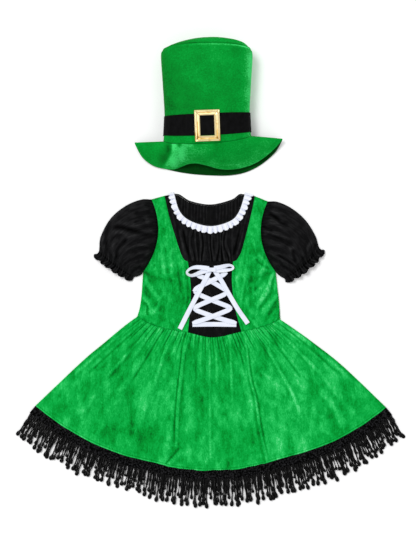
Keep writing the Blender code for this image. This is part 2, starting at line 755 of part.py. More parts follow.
def fringe(strands, braid_floor, strand_floor, turn):
    """A braid along the hem whose outer edge grows into strands. turn shifts the pattern of their lengths."""
    number = np.arange(2 * strands)
    at = (number // 2 + STRAND_SHARE * (number % 2)) / (strands - 1 + STRAND_SHARE)
    rows = [np.column_stack([hem_line(at, beyond), braid_floor(at)]) for beyond in (BRAID, SEAM)]
    form = wall(np.array(rows), BRAID_THICK)
    outer = [face for face in form.faces if all(past_hem(v.co) > BRAID / 2 for v in face.verts)]
    outer.sort(key=lambda face: face.calc_center_median().x)
    for count, face in enumerate(outer[::2]):
        length = STRAND_LENGTH + STRAND_UNEVEN * math.sin(LENGTH_BEAT * count + turn)
        grow_strand(form, face, strand_floor, length)
    return form


def past_hem(point):
    return math.dist(point[:2], HEM_CENTRE) - HEM_RADIUS


def grow_strand(form, face, strand_floor, length):
    """Extrudes a face of the braid into a beaded strand that comes down to strand_floor."""
    root = face.calc_center_median()
    lean = STRAND_LEAN * math.atan2(root.x - HEM_CENTRE[0], HEM_CENTRE[1] - root.y)
    ahead = Vector((math.sin(lean), -math.cos(lean), 0.0))
    side = Vector((math.cos(lean), math.sin(lean), 0.0))
    top = {
        v: max(w.co.z for w in face.verts if (w.co - v.co).to_2d().length < TOUCHING) for v in face.verts
    }
    signs = [((v.co - root).dot(side) > 0, v.co.z == top[v]) for v in face.verts]
    for twist in STRAND:
        drop = min(1.0, 2 * twist.at)
        centre = root + ahead * length * twist.at
        centre.z = root.z * (1 - drop) + (strand_floor + DROP_THICK) * drop
        face = bmesh.ops.extrude_discrete_faces(form, faces=[face])["faces"][0]
        for vert, (across, up) in zip(face.verts, signs):
            vert.co = centre + side * twist.half_width * (1 if across else -1)
            vert.co.z += twist.half_thick * (1 if up else -1)


def front_braid_floor(at):
    """The front braid leaves the hem at the hem's height."""
    return LOW + FRONT_BRAID_SPACE + skirt_loft(np.asarray(at), 1.0)


def back_braid_floor(at):
    return np.full(len(at), BACK_BRAID_SPACE)


# The hat


def crown_ring(section, grow=0.0, steps=36):
    """A ring of the crown, grown outwards by that much."""
    angle = np.arange(steps) * 2 * np.pi / steps
    power = 2.0 / HAT_SQUARENESS
    across = np.sign(np.cos(angle)) * np.abs(np.cos(angle)) ** power
    up = np.sign(np.sin(angle)) * np.abs(np.sin(angle)) ** power
    x = (section.half_width + grow) * across
    z = section.floor + section.height / 2 + (section.height / 2 + grow) * up
    y = section.y + section.tilt * x - section.dip * up**2
    return np.column_stack([x, y, z])


def hat_crown():
    return hollow([crown_ring(s) for s in CROWN], [crown_ring(s, -HAT_WALL) for s in CROWN])


def hat_tip():
    """The domed top, sewn to the end of the crown."""
    seam = CROWN[-1]
    middle = np.array([0.0, seam.y, seam.floor + seam.height / 2])
    skins = []
    for grow in (0.0, -HAT_WALL):
        ring = crown_ring(seam, grow)
        rings = []
        for share, rise, tilt in DOME:
            # Both skins meet the crown's end at the first ring, and past it the inner one lies lower.
            placed = middle + (ring - middle) * share
            placed[:, 1] += rise + tilt * placed[:, 0] + (0.0 if share == 1.0 else grow)
            rings.append(placed)
        skins.append(rings)
    return hollow(*skins, capped=True)


BRIM_STEPS = 50


def brim_edge(angles):
    """The brim's edge at those angles, on a smooth closed curve through BRIM_EDGE."""
    table = np.array(BRIM_EDGE, float)
    wrapped = np.vstack([table[-2:] - (360, 0, 0, 0), table, table[:3] + (360, 0, 0, 0)])
    fine = smooth(wrapped, shares(2 * FINE))
    return np.column_stack([np.interp(angles, fine[:, 0], fine[:, k]) for k in (1, 2, 3)])


def hat_brim():
    """The brim, bent forwards over and under the mouth as the hat lies on its back."""
    angles = np.arange(BRIM_STEPS) * 360.0 / BRIM_STEPS
    seam = crown_ring(CROWN[0], -HAT_WALL / 2, BRIM_STEPS) - (0.0, BRIM_FORWARD, 0.0)
    seam[:, 2] = np.maximum(seam[:, 2], BRIM_CLEAR)
    edge = brim_edge(angles)
    front = np.clip(np.sin(np.radians(angles)), 0.0, 1.0)
    back = np.clip(-np.sin(np.radians(angles)) * BRIM_FLAT, 0.0, 1.0)
    rings = [seam]
    for share in BRIM_RINGS:
        ring = seam + share * (edge - seam)
        ring[:, 2] += BRIM_RISE * arch(share) * front
        ring[:, 2] += back * (HAT_WALL / 2 - ring[:, 2])
        rings.append(ring)
    rings = np.array([*rings, edge])
    around = np.roll(rings, -1, axis=1) - np.roll(rings, 1, axis=1)
    outwards = np.gradient(rings, axis=0)
    normal = np.cross(around, outwards)
    normal /= np.linalg.norm(normal, axis=2)[..., None]
    over, under = rings + normal * HAT_WALL / 2, rings - normal * HAT_WALL / 2
    for skin in (over, under):
        skin[..., 2] = np.maximum(skin[..., 2], 0.0)
    return hollow(over, under)


def hat_band():
    outer = [crown_ring(section, BAND_GAP + BAND_THICK) for section in BAND_SECTIONS]
    inner = [crown_ring(section, BAND_GAP) for section in BAND_SECTIONS]
    return hollow(outer, inner)


CORNERS = [(1, 1), (-1, 1), (-1, -1), (1, -1)]
# Loops of the buckle's frame: how far in from its outside, and how high
BUCKLE_LOOPS = [(0.0, 0.0), (0.0, 2.2), (2.0, 4.0), (6.0, 3.0), (9.5, 4.0), (11.5, 2.4), (11.5, 0.0)]


def hat_buckle():
    """A flat rectangular frame with a grooved face, lying on the band."""
    low, high = BAND_SECTIONS
    slope = (high.floor + high.height - low.floor - low.height) / (high.y + low.dip - low.y)
    cosine, sine = math.cos(BUCKLE_TURN), math.sin(BUCKLE_TURN)
    turn = np.array([[cosine, -sine], [sine, cosine]])
    loops = []
    for inset, up in BUCKLE_LOOPS:
        half = np.array(BUCKLE) / 2 - inset
        loop = np.array(CORNERS) * half @ turn.T + BUCKLE_AT
        seat = low.floor + low.height + slope * (loop[:, 1] - low.y + low.dip) + BAND_GAP + BAND_THICK
        loops.append(np.column_stack([loop, seat + SEAM + up]))
    return welded_rings(loops)


def build_dress(parent):
    add_piece("skirt_back", wall(parted(skirt_back())), "green_velvet", parent)
    add_piece("skirt_front", wall(parted(skirt_front())), "green_velvet", parent)
    front = [add_piece("front_yoke", wall(parted(front_yoke())), "black_jersey", parent)]
    front.append(add_piece("front_insert", wall(parted(front_insert())), "black_jersey", parent))
    for side in ("left", "right"):
        front.append(add_piece(f"front_side_{side}", wall(parted(front_side(side))), "green_velvet", parent))
        add_piece(f"back_side_{side}", wall(parted(back_side(side))), "green_velvet", parent)
        add_piece(f"back_centre_{side}", wall(parted(back_centre(side))), "black_jersey", parent)
        add_piece(f"sleeve_{side}", hollow(*sleeve_rings(side)), "black_jersey", parent)
    bpy.context.view_layer.update()
    build_trimmings(parent, front)


ZIP_POINTS = 5
BINDING_COLUMNS = 22
BACK_TURN = 1.3  # radians by which the back fringe's pattern of lengths is shifted


def build_trimmings(parent, front):
    surface = Surface(front)
    zip_line = np.linspace((BACK_MIDDLE, ZIP_ENDS[0]), (BACK_MIDDLE, ZIP_ENDS[1]), ZIP_POINTS)
    zip_rows = strip(zip_line, ZIP_WIDTH, np.full(len(zip_line), LOW))
    add_piece("back_zip", wall(zip_rows, ZIP_THICK), "black_jersey", parent)
    at = shares(BINDING_COLUMNS)
    neck = beside(smooth(NECK_FRONT, at), -BINDING / 2)
    binding = wall(strip(neck, BINDING, LOW + BODICE_LOFT * arch(at, BODICE_ROUNDING)), BINDING_THICK)
    binding = add_piece("neck_binding_front", binding, "black_jersey", parent)
    neck = [panel_neck(NECK_BACK, NECK_BACK_SHARES, aside) for aside in (-BINDING, 0.0)]
    add_piece("neck_binding_back", wall(flat(np.array(neck))), "black_jersey", parent)
    add_piece("neck_frill", frill(Surface([*front, binding])), "white_lace", parent)
    for stretch in STRETCHES:
        ribbon = laid_ribbon(stretch.start, stretch.end, stretch.layer, surface)
        add_piece(stretch.name, ribbon, "white_ribbon", parent)
    layers = 1 + max(stretch.layer for stretch in STRETCHES)
    bow_floor = surface.top(*KNOT) + SEAM + layers * (RIBBON_THICK + SEAM)
    add_piece("bow_knot", knot(bow_floor), "white_ribbon", parent)
    for side, points in BOW_LOOPS.items():
        add_piece(f"bow_loop_{side}", bow_loop(points, bow_floor), "white_ribbon", parent)
    front_fringe = fringe(FRONT_STRANDS, front_braid_floor, FRONT_STRAND_SPACE, 0.0)
    add_piece("fringe_front", front_fringe, "black_fringe", parent)
    back_fringe = fringe(BACK_STRANDS, back_braid_floor, BACK_STRAND_SPACE, BACK_TURN)
    add_piece("fringe_back", back_fringe, "black_fringe", parent)


def build_hat(parent):
    add_piece("hat_crown", hat_crown(), "green_velvet", parent)
    add_piece("hat_tip", hat_tip(), "green_velvet", parent)
    add_piece("hat_brim", hat_brim(), "green_velvet", parent)
    add_piece("hat_band", hat_band(), "black_ribbon", parent)
    add_piece("hat_buckle", hat_buckle(), "gold_plastic", parent)


clear_scene()
build_dress(add_empty("dress", 0.0, 0.0))
build_hat(add_empty("hat", *HAT_AT))
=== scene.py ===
# %% [markdown]
# A leprechaun costume laid out on a pale surface: a child's velvet dress and a tall hat above it.
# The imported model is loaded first, because it fixes where each piece lies. Every piece of cloth below
# is then made again over its solid, fine enough to carry gathers, creases and seams.

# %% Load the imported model
import math
from collections import namedtuple

import bmesh
import bpy
import numpy as np
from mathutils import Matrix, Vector
from mathutils.bvhtree import BVHTree


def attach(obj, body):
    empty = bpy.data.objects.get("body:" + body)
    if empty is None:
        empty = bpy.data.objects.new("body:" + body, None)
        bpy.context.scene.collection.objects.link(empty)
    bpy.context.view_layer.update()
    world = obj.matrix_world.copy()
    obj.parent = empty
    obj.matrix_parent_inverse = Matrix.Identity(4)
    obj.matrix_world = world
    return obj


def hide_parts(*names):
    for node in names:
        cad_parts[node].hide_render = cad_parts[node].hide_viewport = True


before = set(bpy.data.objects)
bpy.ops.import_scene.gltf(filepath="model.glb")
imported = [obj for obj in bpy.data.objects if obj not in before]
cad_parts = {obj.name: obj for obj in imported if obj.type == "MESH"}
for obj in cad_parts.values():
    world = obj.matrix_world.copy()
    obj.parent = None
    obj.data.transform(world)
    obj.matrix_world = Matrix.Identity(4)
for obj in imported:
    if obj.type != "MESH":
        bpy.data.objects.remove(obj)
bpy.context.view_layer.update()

MM = 0.001
MERGE = 0.001 * MM  # points that are closer than this are one

# %% [markdown]
# The pieces share a few curves: the waist, the hem, the neck and the armholes. Each is a short table of
# points in millimetres, joined by a smooth curve, so that two pieces that are sewn together read the same
# line. Catmull-Rom curves are used because they pass through every point that they are given.

# %% Curves
CURVE_STEPS = 24  # points for each stretch of a smooth curve


def shares(count):
    return np.linspace(0.0, 1.0, count + 1)


def smooth(points, at):
    """Points at those shares of the length of a smooth curve through the given points."""
    knots = np.array(points, float)
    knots = np.vstack([2 * knots[0] - knots[1], knots, 2 * knots[-1] - knots[-2]])
    fine = []
    for before, start, end, after in zip(knots, knots[1:], knots[2:], knots[3:]):
        for t in np.linspace(0.0, 1.0, CURVE_STEPS, endpoint=False):
            fine.append(
                start
                + 0.5 * t * (end - before)
                + 0.5 * t**2 * (2 * before - 5 * start + 4 * end - after)
                + 0.5 * t**3 * (3 * start - before - 3 * end + after)
            )
    fine = np.array(fine + [knots[-2]])
    along = np.r_[0.0, np.cumsum(np.linalg.norm(np.diff(fine, axis=0), axis=1))]
    where = np.asarray(at) * along[-1]
    return np.stack([np.interp(where, along, fine[:, k]) for k in range(fine.shape[1])], axis=1)


def joined(*lines):
    """Lines that follow on, with the points that they share kept once."""
    return np.vstack([lines[0]] + [line[1:] for line in lines[1:]])


def side_normals(line):
    along = np.gradient(line[:, :2], axis=0)
    along /= np.linalg.norm(along, axis=1)[:, None]
    return np.column_stack([-along[:, 1], along[:, 0]])


def beside(line, distance):
    """The line moved to its left in plan."""
    moved = np.array(line, float)
    moved[:, :2] += np.asarray(distance).reshape(-1, 1) * side_normals(moved)
    return moved


def arch(at, power=0.8):
    """From 0 at either end to 1 in the middle."""
    return np.sin(np.pi * np.clip(at, 0.0, 1.0)) ** power


def ease(value):
    """From 0 to 1 with soft ends."""
    value = np.clip(value, 0.0, 1.0)
    return value * value * (3 - 2 * value)


def bell(away, reach):
    """1 on a line, and nearly 0 at twice its reach to either side."""
    return np.exp(-((away / reach) ** 2))


def evened(values, reach):
    """A row of values, each averaged with those up to reach places to either side."""
    kernel = np.ones(2 * reach + 1) / (2 * reach + 1)
    return np.convolve(np.pad(values, reach, "edge"), kernel, "valid")


def patch(bottom, top, left, right, up):
    """Rows of points in the space between four edges; up gives the share of the way up of each row."""
    u = shares(len(bottom) - 1)[None, :, None]
    v = np.asarray(up)[:, None, None]
    sideways = (1 - u) * left[:, None] + u * right[:, None]
    upwards = (1 - v) * bottom[None] + v * top[None]
    corners = (1 - v) * ((1 - u) * bottom[0] + u * bottom[-1]) + v * ((1 - u) * top[0] + u * top[-1])
    return sideways + upwards - corners


def soft_noise(x, y, seed):
    """Smooth random heights between -1 and 1 that change over a distance of about 1."""
    lattice = np.random.default_rng(seed).uniform(-1.0, 1.0, (64, 64))
    i, j = np.floor(x).astype(int), np.floor(y).astype(int)
    a, b = ease(x - i), ease(y - j)
    corner = [lattice[(i + di) % 64, (j + dj) % 64] for di in (0, 1) for dj in (0, 1)]
    return (1 - a) * ((1 - b) * corner[0] + b * corner[1]) + a * ((1 - b) * corner[2] + b * corner[3])


# %% [markdown]
# Laid cloth is a sheet a little over a millimetre thick. A grid of quads is the natural start, because its
# rows and columns follow the grain, and because the same rows give each point its place on the flat cut.
# That place is kept as a UV map, so that a pattern on the cloth turns and narrows as the cloth does.

# %% Sheets and tubes
def blurred(values, down, across):
    """Values averaged over that many rows and columns to either side."""
    return np.apply_along_axis(evened, 1, np.apply_along_axis(evened, 0, values, down), across)


def lay(name, rows, cut, thickness, finish, closed=False, relief_shade=(6, 6, 0.8), paleness=0.0):
    """A cloth object through rows of points, with its flat cut in mm as its UV map.

    A closed one is a tube, whose last column lies on its first. The relief argument gives the rows and
    columns over which a height counts as a ridge or a groove, and how high a full one is in mm, or is None.
    Ridges are painted paler and grooves darker, as painted highlight and shade. This is kept as an
    attribute, with the paleness of the listed spots added, for the finishes to read.
    """
    down, across = rows.shape[:2]
    form = bmesh.new()
    bmesh.ops.create_grid(form, x_segments=across - 1, y_segments=down - 1, size=1.0)
    form.verts.ensure_lookup_table()
    places = rows.reshape(-1, 3) * MM
    flat = cut.reshape(-1, 2)
    painted_light = 0.0 * rows[..., 2] + paleness
    # Painted highlight and shade: a point above its neighbours' average is made paler, and one below it
    # darker.
    if relief_shade:
        painted_light += np.clip((rows[..., 2] - blurred(rows[..., 2], *relief_shade[:2])) / relief_shade[2], -1.0, 0.6)
    painted_shading = form.verts.layers.float.new("relief_shade")
    for vert, place, ridge in zip(form.verts, places, painted_light.ravel()):
        vert.co = place
        vert[painted_shading] = ridge
    layer = form.loops.layers.uv.new("cut")
    for face in form.faces:
        for loop in face.loops:
            loop[layer].uv = flat[loop.vert.index]
    if closed:
        bmesh.ops.remove_doubles(form, verts=form.verts, dist=MERGE)
    piece = finish_piece(name, form, finish, thickness)
    # The highest face of a closed tube looks up where the tube is the right way out.
    if closed and max(piece.data.polygons, key=lambda face: face.center.z).normal.z < 0:
        piece.data.flip_normals()
    return piece


def finish_piece(name, form, finish, thickness=0.0):
    mesh = bpy.data.meshes.new(name)
    form.to_mesh(mesh)
    form.free()
    mesh.materials.append(finish)
    mesh.shade_smooth()
    piece = bpy.data.objects.new(name, mesh)
    bpy.context.scene.collection.objects.link(piece)
    if thickness:
        solid = piece.modifiers.new("thickness", "SOLIDIFY")
        solid.thickness = thickness * MM
        solid.offset = -1.0
    return piece


def declare(piece, node):
    """Prints which node a finished piece stands for, puts it under the root, and hides that node's imported
    part.
    """
    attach(piece, "root")
    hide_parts(node)
    print(f"{piece.name}: {len(piece.data.polygons)} faces, for {node}")


def plan_cut(rows):
    """The flat cut of cloth that lies as it was cut: its own plan."""
    return rows[..., :2]


# %% [markdown]
# Creases are what make laid cloth look like cloth. Each one is given as a line in plan, with the
# width and height of its soft ridge, or trough where the height is negative, and a step where the cloth
# folds over itself. Both ends fade out, and no two are alike.

# %% Creases
Crease = namedtuple("Crease", "path width height step", defaults=(0.0,))
FOLD_REACH = 16.0  # mm beside a folded line over which its step fades away
CREASE_END = 0.22  # the share of a crease at each end over which it fades
CREASE_STEPS = 24


def creased(rows, creases):
    """Rows of points with creases added to their heights."""
    x, y = rows[..., 0], rows[..., 1]
    lift = np.zeros(x.shape)
    for crease in creases:
        line = smooth(crease.path, shares(CREASE_STEPS))
        nearest = np.full(x.shape, 1e9)
        aside = np.zeros(x.shape)
        along = np.zeros(x.shape)
        for k, (start, end) in enumerate(zip(line, line[1:])):
            run = end - start
            length = np.hypot(*run)
            t = ((x - start[0]) * run[0] + (y - start[1]) * run[1]) / length**2
            held = np.clip(t, 0.0, 1.0)
            distance = np.hypot(x - start[0] - held * run[0], y - start[1] - held * run[1])
            closer = distance < nearest
            side = np.sign((x - start[0]) * -run[1] + (y - start[1]) * run[0])
            nearest = np.where(closer, distance, nearest)
            aside = np.where(closer, side * distance, aside)
            along = np.where(closer, (k + held) / CREASE_STEPS, along)
        fade = ease(along / CREASE_END) * ease((1.0 - along) / CREASE_END) * ease(2.5 - nearest / FOLD_REACH)
        ridge = crease.height * bell(aside, crease.width)
        fold = crease.step * np.tanh(aside / (0.5 * crease.width)) * bell(aside, FOLD_REACH)
        lift += fade * (ridge + fold)
    made = rows.copy()
    made[..., 2] += lift
    return made


# %% [markdown]
# The finishes come next. Colours are written as sRGB hex values, as a paint program shows them, and one
# function makes them linear for the shader. Another adds a node with its settings and its links.

# %% Colours and nodes
def linear(hex_colour):
    parts = [int(hex_colour[k : k + 2], 16) / 255 for k in (1, 3, 5)]
    return (*[p / 12.92 if p <= 0.04045 else ((p + 0.055) / 1.055) ** 2.4 for p in parts], 1.0)


def add(tree, kind, links=None, **settings):
    """A new node. links gives an input's name or number a value, or the output that it takes."""
    node = tree.nodes.new(kind)
    for name, value in settings.items():
        setattr(node, name, value)
    for key, value in (links or {}).items():
        if isinstance(value, bpy.types.NodeSocket):
            tree.links.new(value, node.inputs[key])
        else:
            node.inputs[key].default_value = value
    return node


def new_finish(name, **values):
    """A material, its node tree and its shader, with those values on the shader's sockets."""
    material = bpy.data.materials.new(name)
    material.use_nodes = True
    shader = material.node_tree.nodes["Principled BSDF"]
    for socket, value in values.items():
        shader.inputs[socket.replace("_", " ")].default_value = value
    return material, material.node_tree, shader


FACTOR, COLOUR_A, COLOUR_B, MIXED = 0, 6, 7, 2  # sockets of a Mix node that mixes colours


# %% [markdown]
# Crushed velvet is knitted with a pile about a millimetre long, which is pressed flat in patches. Pile that
# leans towards the light is pale, and pile that leans away is deep, so one colour of yarn gives streaks and
# clouds from dark to bright green. Stretched noise on the flat cut draws them, longer along the grain.
# A sheen lobe gives the pile its soft bright edge. The largest patches are listed, in mm on the
# dress: where each lies, how far it reaches across and along, and how pale it is.

# %% Crushed velvet
def clouded(tree, vector, sizes, detail, rough, distortion=0.0):
    """Noise whose patches have those sizes along the vector's axes, in the vector's own units."""
    scale = [1 / size for size in sizes] + [1.0] * (3 - len(sizes))
    placed = add(tree, "ShaderNodeMapping", {"Vector": vector, "Scale": scale})
    settings = {"Vector": placed.outputs[0], "Scale": 1.0, "Detail": detail, "Roughness": rough}
    return add(tree, "ShaderNodeTexNoise", {**settings, "Distortion": distortion}).outputs[0]


def scaled_sum(tree, first, *others):
    """The sum of values, each of the others times its own factor."""
    for value, factor in others:
        links = {0: value, 1: factor, 2: first}
        first = add(tree, "ShaderNodeMath", links, operation="MULTIPLY_ADD").outputs[0]
    return first


def ramp(tree, value, stops):
    """Colours at places along a value, with soft changes between them."""
    node = add(tree, "ShaderNodeValToRGB", {0: value})
    node.color_ramp.interpolation = "EASE"
    for number, (place, colour) in enumerate(stops):
        known = number < 2
        stop = node.color_ramp.elements[number] if known else node.color_ramp.elements.new(place)
        stop.position = place
        stop.color = linear(colour)
    return node.outputs[0]


def wire(tree, shader, colour, height, strength, distance):
    """Puts a colour on the shader, and a bump of that many mm."""
    bump = add(tree, "ShaderNodeBump", {"Height": height, "Strength": strength, "Distance": distance * MM})
    tree.links.new(colour, shader.inputs["Base Color"])
    tree.links.new(bump.outputs[0], shader.inputs["Normal"])


def crushed_velvet(name, stops):
    material, tree, shader = new_finish(
        name, Roughness=0.8, Sheen_Weight=0.04, Sheen_Roughness=0.4, Specular_IOR_Level=0.04
    )
    shader.inputs["Sheen Tint"].default_value = linear("#8DF0A4")
    cut = add(tree, "ShaderNodeUVMap", uv_map="cut").outputs[0]
    ridge = add(tree, "ShaderNodeAttribute", attribute_name="relief_shade").outputs["Fac"]
    # Patches of about 42 by 75 mm, streaks of 9 by 19 mm, and a grain of 2.6 by 4.2 mm, which is coarser
    # than the real pile so that it shows.
    patches = clouded(tree, cut, (42, 75), 2.0, 0.5, 0.4)
    crush = clouded(tree, cut, (9, 19), 6.0, 0.72, 0.8)
    grain = clouded(tree, cut, (2.6, 4.2), 3.0, 0.7)
    # The ridge value adds painted highlight on ridges and painted shade in grooves, with the painted spots.
    pile = scaled_sum(tree, patches, (crush, 1.0), (grain, 0.8), (ridge, 0.30))
    level = add(tree, "ShaderNodeMapRange", {"Value": pile, "From Min": 0.88, "From Max": 1.92}).outputs[0]
    wire(tree, shader, ramp(tree, level, stops), crush, 0.3, 1.2)
    return material


Spot = namedtuple("Spot", "x y across along pale")
# Some spots are painted light rather than pressed pile: pale ones on fold ridges are painted highlights, and
# dark ones in hollows are painted shade.
PILE_AND_SHADE_SPOTS = [Spot(*spot) for spot in [
    (-134, -260, 35, 45, 0.5), (-122, -352, 50, 24, -0.55), (-190, -350, 40, 20, -0.5),
    (175, -251, 45, 30, 0.5), (161, -326, 30, 55, 0.6), (222, -326, 25, 50, 0.4), (248, -276, 30, 16, -0.3),
    (-52, -308, 11, 40, 0.5), (-36, -263, 20, 36, -0.4), (20, -315, 13, 60, 0.4), (38, -300, 14, 60, -0.4),
    (105, -352, 17, 42, -0.5), (62, -324, 22, 26, 0.3), (66, -386, 26, 28, -0.35), (18, -410, 15, 12, 0.5),
    (-58, -374, 10, 30, 0.35), (-268, -306, 30, 14, 0.4), (-152, -292, 20, 20, 0.3),
    (-103, 68, 10, 36, 0.45), (-88, -39, 24, 32, -0.45), (-122, -62, 12, 22, 0.45), (-138, -22, 8, 16, 0.4),
    (-96, 120, 14, 24, -0.4), (116, -53, 12, 25, 0.4), (93, -27, 14, 24, -0.45), (92, 76, 10, 26, 0.35),
    (118, 10, 8, 16, 0.4), (-128, -37, 7, 10, 0.5), (-113, -62, 7, 14, 0.4), (-124, -88, 9, 8, 0.4),
    (110, 116, 12, 26, -0.35), (76, -92, 16, 20, -0.3), (-230, -250, 60, 36, -0.25),
    (-317, -258, 20, 22, 0.3), (-100, 150, 14, 16, -0.3), (38, -165, 55, 30, -0.9),
    (-158, -182, 45, 30, -0.65), (-130, -295, 24, 26, -0.5), (-185, -342, 20, 20, -0.5),
    (146, -292, 20, 30, 0.5), (262, -222, 45, 22, 0.45), (325, -300, 28, 26, -0.9), (296, -236, 16, 20, 0.4),
    (-240, -208, 14, 18, -0.4), (-265, -246, 14, 18, -0.4), (-312, -304, 20, 16, -0.5),
    (-211, -286, 14, 14, -0.45), (184, -392, 12, 14, 0.6), (264, -336, 16, 14, -0.45),
    (-80, -152, 14, 12, -0.45), (92, -153, 22, 12, -0.45), (-106, -365, 10, 18, -0.5),
    (-58, -26, 10, 14, 0.5), (-100, -318, 40, 14, -0.3),
]]
SPOT_STRENGTH = 0.75


def pile_and_shade(rows, spots=PILE_AND_SHADE_SPOTS):
    """How much paler (above 0) or darker (below 0) each point is painted: pressed pile with painted highlight
    and shade on the dress, and painted sheen, highlight and shade on the hat.
    """
    paleness = 0.0 * rows[..., 0]
    for spot in spots:
        away = np.hypot((rows[..., 0] - spot.x) / spot.across, (rows[..., 1] - spot.y) / spot.along)
        paleness += SPOT_STRENGTH * spot.pale * np.exp(-(away**2))
    return paleness


VELVET_STOPS = [(0.08, "#006A1E"), (0.94, "#5BE087"), (0.30, "#00922F"), (0.50, "#06A942"), (0.74, "#24C45C")]
dress_velvet = crushed_velvet("crushed_velvet", VELVET_STOPS)

# %% [markdown]
# The hat is covered in a plainer velour, glued to foam. Its pile stands up evenly, so it shows a fine grain
# and faint clouds. The pale and dark places that each piece of the hat lists are painted sheen, highlight
# and shade. The grain has no direction, so it reads the object's own coordinates.

# %% Velour
def velour(name, stops):
    material, tree, shader = new_finish(
        name, Roughness=0.75, Sheen_Weight=0.05, Sheen_Roughness=0.35, Specular_IOR_Level=0.05
    )
    shader.inputs["Sheen Tint"].default_value = linear("#7CF08F")
    place = add(tree, "ShaderNodeTexCoord").outputs["Object"]
    ridge = add(tree, "ShaderNodeAttribute", attribute_name="relief_shade").outputs["Fac"]
    # Clouds 36 mm across, and a grain of 2.8 mm, coarser than real pile so that it shows.
    clouds = clouded(tree, place, [36 * MM] * 3, 4.0, 0.6)
    grain = clouded(tree, place, [2.8 * MM] * 3, 3.0, 0.75)
    # The ridge value carries the painted sheen, highlight and shade that each piece of the hat lists.
    pile = scaled_sum(tree, grain, (clouds, 0.6), (ridge, 0.6))
    level = add(tree, "ShaderNodeMapRange", {"Value": pile, "From Min": 0.25, "From Max": 1.35}).outputs[0]
    wire(tree, shader, ramp(tree, level, stops), grain, 0.25, 0.4)
    return material


VELOUR_STOPS = [(0.0, "#005012"), (1.0, "#40E074"), (0.4, "#008628"), (0.62, "#009C34")]
hat_velour = velour("velour", VELOUR_STOPS)
# A copy of the velour in a deeper green is painted shade for the brim's underside, which lies in shadow.
shaded_velour = velour("shaded_velour", [(0.0, "#001A03"), (1.0, "#006018"), (0.5, "#003A0A")])

# %% [markdown]
# Black jersey is a fine cotton knit: matt, with a trace of fuzz. Its ribs of stitches run along the grain.
# Real ones are 0.5 mm apart, under a pixel here, so they are drawn at 1.1 mm to give the cloth its texture.

# %% Black cloths
def black_cloth(name, stops, rib, rough, shine):
    material, tree, shader = new_finish(
        name, Roughness=rough, Sheen_Weight=0.01, Sheen_Roughness=0.5, Specular_IOR_Level=shine
    )
    cut = add(tree, "ShaderNodeUVMap", uv_map="cut").outputs[0]
    ridge = add(tree, "ShaderNodeAttribute", attribute_name="relief_shade").outputs["Fac"]
    ribs = add(tree, "ShaderNodeMapping", {"Vector": cut, "Scale": (1 / rib, 0.0, 0.0)}).outputs[0]
    wave = add(tree, "ShaderNodeTexWave", {"Vector": ribs, "Scale": 0.3, "Distortion": 0.6}).outputs[1]
    # The ridge value adds painted highlight on ridges and painted shade in grooves.
    shade = scaled_sum(tree, clouded(tree, cut, (9, 14), 4.0, 0.6), (ridge, 0.55))
    wire(tree, shader, ramp(tree, shade, stops), wave, 0.25, 0.25)
    return material


JERSEY_STOPS = [(0.0, "#020202"), (1.0, "#2D2D2E"), (0.45, "#0F0F10"), (0.75, "#1C1C1D")]
jersey = black_cloth("jersey", JERSEY_STOPS, 1.1, 0.8, 0.025)
# Grosgrain is woven with thick weft cords, which stand as ribs across the ribbon, 1.4 mm apart.
grosgrain = black_cloth("grosgrain", [(0.2, "#080808"), (0.8, "#121213")], 1.4, 0.7, 0.03)


# %% [markdown]
# The trimmings are white cotton lace, white satin ribbon, black braid with black beads, and a buckle moulded
# in plastic and metallised to a pale gold. Each has its own gloss, from matt lace to the hard beads.

# %% Trimmings' finishes
def white_cloth(name, stops, rough, size, sheen, painted_shading):
    material, tree, shader = new_finish(name, Roughness=rough, Sheen_Weight=sheen, Specular_IOR_Level=0.25)
    cut = add(tree, "ShaderNodeUVMap", uv_map="cut").outputs[0]
    ridge = add(tree, "ShaderNodeAttribute", attribute_name="relief_shade").outputs["Fac"]
    threads = clouded(tree, cut, size, 3.0, 0.5)
    # The ridge value adds painted highlight on ridges and painted shade in grooves, where the cloth turns to
    # its bluish deepest tone.
    shade = scaled_sum(tree, threads, (ridge, painted_shading))
    wire(tree, shader, ramp(tree, shade, stops), threads, 0.3, 0.3)
    return material


LACE_STOPS = [(0.05, "#B9BFDA"), (0.75, "#F8FAFF"), (0.4, "#E9ECF9")]
lace = white_cloth("cotton_lace", LACE_STOPS, 0.8, (2.4, 3.6), 0.05, 0.36)
# The ribbon's fine lines are its selvedges and slubs, 2 mm apart and long.
SATIN_STOPS = [(0.1, "#C3CDEB"), (0.8, "#FBFCFF"), (0.45, "#E6ECFA")]
satin = white_cloth("satin_ribbon", SATIN_STOPS, 0.45, (40.0, 2.2), 0.03, 0.4)


def black_trim(name, base, light, rough, shine, size):
    """Braid or beads, with small lumps of that size in mm."""
    material, tree, shader = new_finish(name, Roughness=rough, Specular_IOR_Level=shine)
    place = add(tree, "ShaderNodeTexCoord").outputs["Object"]
    lumps = clouded(tree, place, [size * MM] * 3, 2.0, 0.6)
    wire(tree, shader, ramp(tree, lumps, [(0.42, base), (0.72, light)]), lumps, 0.7, 0.6)
    return material


braid = black_trim("braid", "#000000", "#29292B", 0.85, 0.03, 3.6)
beads = black_trim("beads", "#010101", "#0E0E0F", 0.3, 0.12, 3.0)

gold, tree, shader = new_finish("metallised_plastic", Roughness=0.3, Metallic=0.6)
place = add(tree, "ShaderNodeTexCoord").outputs["Object"]
ridge = add(tree, "ShaderNodeAttribute", attribute_name="relief_shade").outputs["Fac"]
# Streaks 9 mm apart run from deep gold to nearly white, as painted reflections on the metallised face; they
# also bump it a little.
streaks = clouded(tree, place, (14 * MM, 9 * MM, 9 * MM), 3.0, 0.5, 0.6)
